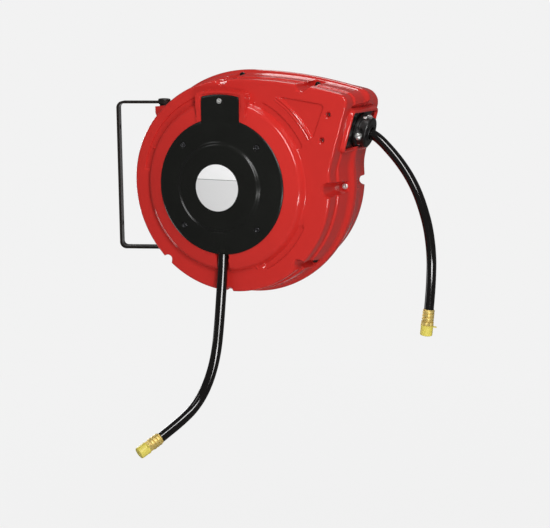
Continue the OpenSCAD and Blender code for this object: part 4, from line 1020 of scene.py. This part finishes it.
def make_camera():
    """The camera; gives the direction from the object back to it."""
    camera = bpy.data.cameras.new("camera")
    camera.sensor_width, camera.lens, camera.clip_end = 36, CAMERA_LENS, 50
    view = linked("camera", camera)
    c, s = math.cos(CAMERA_RISE), math.sin(CAMERA_RISE)
    right = np.array([*heading(CAMERA_TURN), 0])
    back = np.array([right[1] * c, -right[0] * c, s])
    up = np.cross(back, right)
    c, s = math.cos(CAMERA_ROLL), math.sin(CAMERA_ROLL)
    right, up = c * right + s * up, c * up - s * right
    at = in_row(CAMERA_AT)
    view.matrix_world = Matrix([*np.stack([right, up, back, at], -1).tolist(), [0, 0, 0, 1]])
    bpy.context.scene.camera = view
    return back


def seen(tree, path):
    """1 for rays from the camera and for mirrored and refracted rays, 0 for scattered light."""
    mirrored = computed(tree, "MAXIMUM", path["Is Glossy Ray"], path["Is Transmission Ray"])
    return computed(tree, "MAXIMUM", path["Is Camera Ray"], mirrored)


def mix_shaders(tree, share, a, b, end):
    """Leads shader a, where the share is 0, and shader b, where it is 1, to the tree's output."""
    mix = add_node(tree, "MixShader", {"Fac": share, 1: a.outputs[0], 2: b.outputs[0]})
    connect(tree, tree.nodes[end], {"Surface": mix.outputs[0]})


def make_world(back, fill):
    """Even light from all round. What is seen or mirrored of it is the pale backdrop in a cone round
    the view's direction, and a darker room outside that cone."""
    world = bpy.data.worlds.new("studio")
    bpy.context.scene.world = world
    world.use_nodes = True
    tree = world.node_tree
    light = connect(tree, tree.nodes["Background"], {"Color": (1, 1, 1, 1), "Strength": fill})
    facing = add_node(tree, "VectorMath", {0: add_node(tree, "TexCoord").outputs["Generated"],
                                           1: (-back).tolist()}, operation="DOT_PRODUCT")
    lit = ramp(tree, facing.outputs["Value"], *BACKDROP_CONE, 0.0, 1.0, "SMOOTHSTEP")
    path = add_node(tree, "LightPath").outputs
    pale = computed(tree, "MAXIMUM", path["Is Camera Ray"], lit)
    tint = blend(tree, pale, linear((ROOM_SHADE,) * 3), linear((BACKDROP,) * 3))
    shown = add_node(tree, "Background", {"Color": tint})
    mix_shaders(tree, seen(tree, path), light, shown, "World Output")


def make_floor():
    """A pale floor below the hoses, which the camera sees as the backdrop, a little shaded below the
    object. Mirrored rays pass it and see the world."""
    low = float(CAD_BOX[0][2]) - FLOOR_DROP_M
    mesh = bpy.data.meshes.new("floor")
    corners = [(x * FLOOR_HALF_M, y * FLOOR_HALF_M, low)
               for x, y in ((-1, -1), (1, -1), (1, 1), (-1, 1))]
    mesh.from_pydata(corners, [], [(0, 1, 2, 3)])
    floor = linked("floor", mesh)
    floor.visible_glossy = False
    pale = bpy.data.materials.new("pale_floor")
    pale.use_nodes = True
    tree = pale.node_tree
    matt = connect(tree, tree.nodes["Principled BSDF"],
                   {"Base Color": linear((0.93,) * 3), "Roughness": 0.9, "Specular IOR Level": 0.1})
    glow = add_node(tree, "Emission", {"Color": linear((BACKDROP,) * 3)})
    middle = in_row((0, 0, 0)).tolist()[:2] + [low]
    away = distance_from(tree, add_node(tree, "TexCoord").outputs["Object"], middle)
    fade = ramp(tree, away, *FADE_SPAN_M, *FADE_SHADES)
    share = computed(tree, "MULTIPLY", seen(tree, add_node(tree, "LightPath").outputs), fade)
    mix_shaders(tree, share, matt, glow, "Material Output")
    mesh.materials.append(pale)


def make_stage(settings):
    """Camera, world, floor and rectangular lamps, each turned to face the same spot."""
    make_world(make_camera(), settings.fill)
    make_floor()
    aim = in_row(LAMP_AIM)
    for name, (at, size, share) in LAMPS.items():
        data = bpy.data.lights.new(name, "AREA")
        data.shape = "RECTANGLE"
        data.size, data.size_y = size
        data.energy = settings.key * share
        lamp = linked(name, data)
        lamp.location = in_row(at)
        lamp.rotation_euler = Vector(aim - in_row(at)).to_track_quat("-Z", "Y").to_euler()
    bpy.context.scene.view_settings.view_transform = "Standard"


# ---------- add-on ----------

def size_setting(name, text, default, low, high):
    """A size in metres that may be set between two limits."""
    return bpy.props.FloatProperty(
        name=name, description=text, default=default, min=low, max=high, unit="LENGTH")


def colour_setting(name, text, default):
    """A colour that may be set."""
    return bpy.props.FloatVectorProperty(
        name=name, description=text, default=default, subtype="COLOR", min=0, max=1)


class ReelSettings(bpy.types.PropertyGroup):
    """Sizes, colours and light that a user would change."""
    label_radius: size_setting("Label radius", "Radius of the round label", 0.0367, 0.02, 0.038)
    case_screw_radius: size_setting(
        "Case screws", "Head radius of the case screws", 0.0045, 0.003, 0.006)
    cover_screw_radius: size_setting(
        "Cover screws", "Head radius of the cover screws", 0.004, 0.003, 0.0048)
    stop_screw_radius: size_setting(
        "Stop screws", "Head radius of the stop's screws", 0.0057, 0.003, 0.006)
    lip_width: size_setting(
        "Mouth lip", "Width of the lip round the guide plate", 0.0039, 0.002, 0.006)
    case_red: colour_setting("Case", "Colour of the case mouldings", (0.80, 0.185, 0.165))
    cover_black: colour_setting("Cover", "Colour of the front cover", (0.10, 0.103, 0.095))
    hose_black: colour_setting("Hose", "Colour of the hoses", (0.06, 0.05, 0.047))
    brass: colour_setting("Brass", "Colour of the ferrules and fittings", (0.90, 0.80, 0.48))
    cap_yellow: colour_setting("Caps", "Colour of the hose caps", (0.90, 0.84, 0.38))
    key: bpy.props.FloatProperty(
        name="Key light", description="Power of the main lamp", default=17.0, min=0, unit="POWER")
    fill: bpy.props.FloatProperty(
        name="Fill", description="Strength of the light from all round", default=0.16, min=0)


def maker(idname, label, doc, work):
    """An operator class that runs one making function."""
    def execute(self, context):
        work(context.scene.hose_reel)
        return {"FINISHED"}
    return type("REEL_OT_" + idname, (bpy.types.Operator,), {
        "bl_idname": "reel." + idname, "bl_label": label, "__doc__": doc, "execute": execute})


def dress_nodes(settings):
    """Makes the finishes and puts one on every solid of the frame that stays in sight or inside."""
    FINISHES.update(make_finishes(settings))
    for key, names in NODE_FINISH.items():
        for name in names:
            mesh = frame["nodes"][name].data
            mesh.materials.clear()
            mesh.materials.append(FINISHES[key])


OPERATORS = (
    maker("stage", "Stage", "Makes the camera, lamps and floor", make_stage),
    maker("finishes", "Finishes", "Gives every solid its finish", dress_nodes),
    maker("hoses", "Hoses", "Makes both free hoses with their ferrules, nuts and caps",
          lambda s: make_hoses()),
    maker("case", "Case", "Makes the two case mouldings", lambda s: make_case()),
    maker("lugs", "Swing lugs", "Makes the lugs that the case swings on", lambda s: make_lugs()),
    maker("mouth", "Mouth", "Makes the frame and guide plate of the mouth", make_mouth),
    maker("cover", "Cover", "Makes the front cover", lambda s: make_cover()),
    maker("label", "Label", "Makes the plain label plate", make_label),
    maker("screws", "Screws", "Makes the cross-headed screws", make_screws),
    maker("pins", "Swing pins", "Makes the domed swing pins", lambda s: make_pins()),
    maker("stop", "Hose stop", "Makes the two halves of the hose stop", lambda s: make_stop()),
)


class REEL_PT_panel(bpy.types.Panel):
    """Sidebar panel with the settings and one button for each group of pieces."""
    bl_label = "Hose reel"
    bl_space_type = "VIEW_3D"
    bl_region_type = "UI"
    bl_category = "Hose reel"

    def draw(self, context):
        settings = context.scene.hose_reel
        for name in ReelSettings.__annotations__:
            self.layout.prop(settings, name)
        for operator in OPERATORS:
            self.layout.operator(operator.bl_idname)


CLASSES = (ReelSettings,) + OPERATORS + (REEL_PT_panel,)


def register():
    for cls in CLASSES:
        bpy.utils.register_class(cls)
    bpy.types.Scene.hose_reel = bpy.props.PointerProperty(type=ReelSettings)


def unregister():
    del bpy.types.Scene.hose_reel
    for cls in reversed(CLASSES):
        bpy.utils.unregister_class(cls)


def main():
    register()
    for operator in OPERATORS:
        group, name = operator.bl_idname.split(".")
        getattr(getattr(bpy.ops, group), name)()


if __name__ == "__main__":
    main()
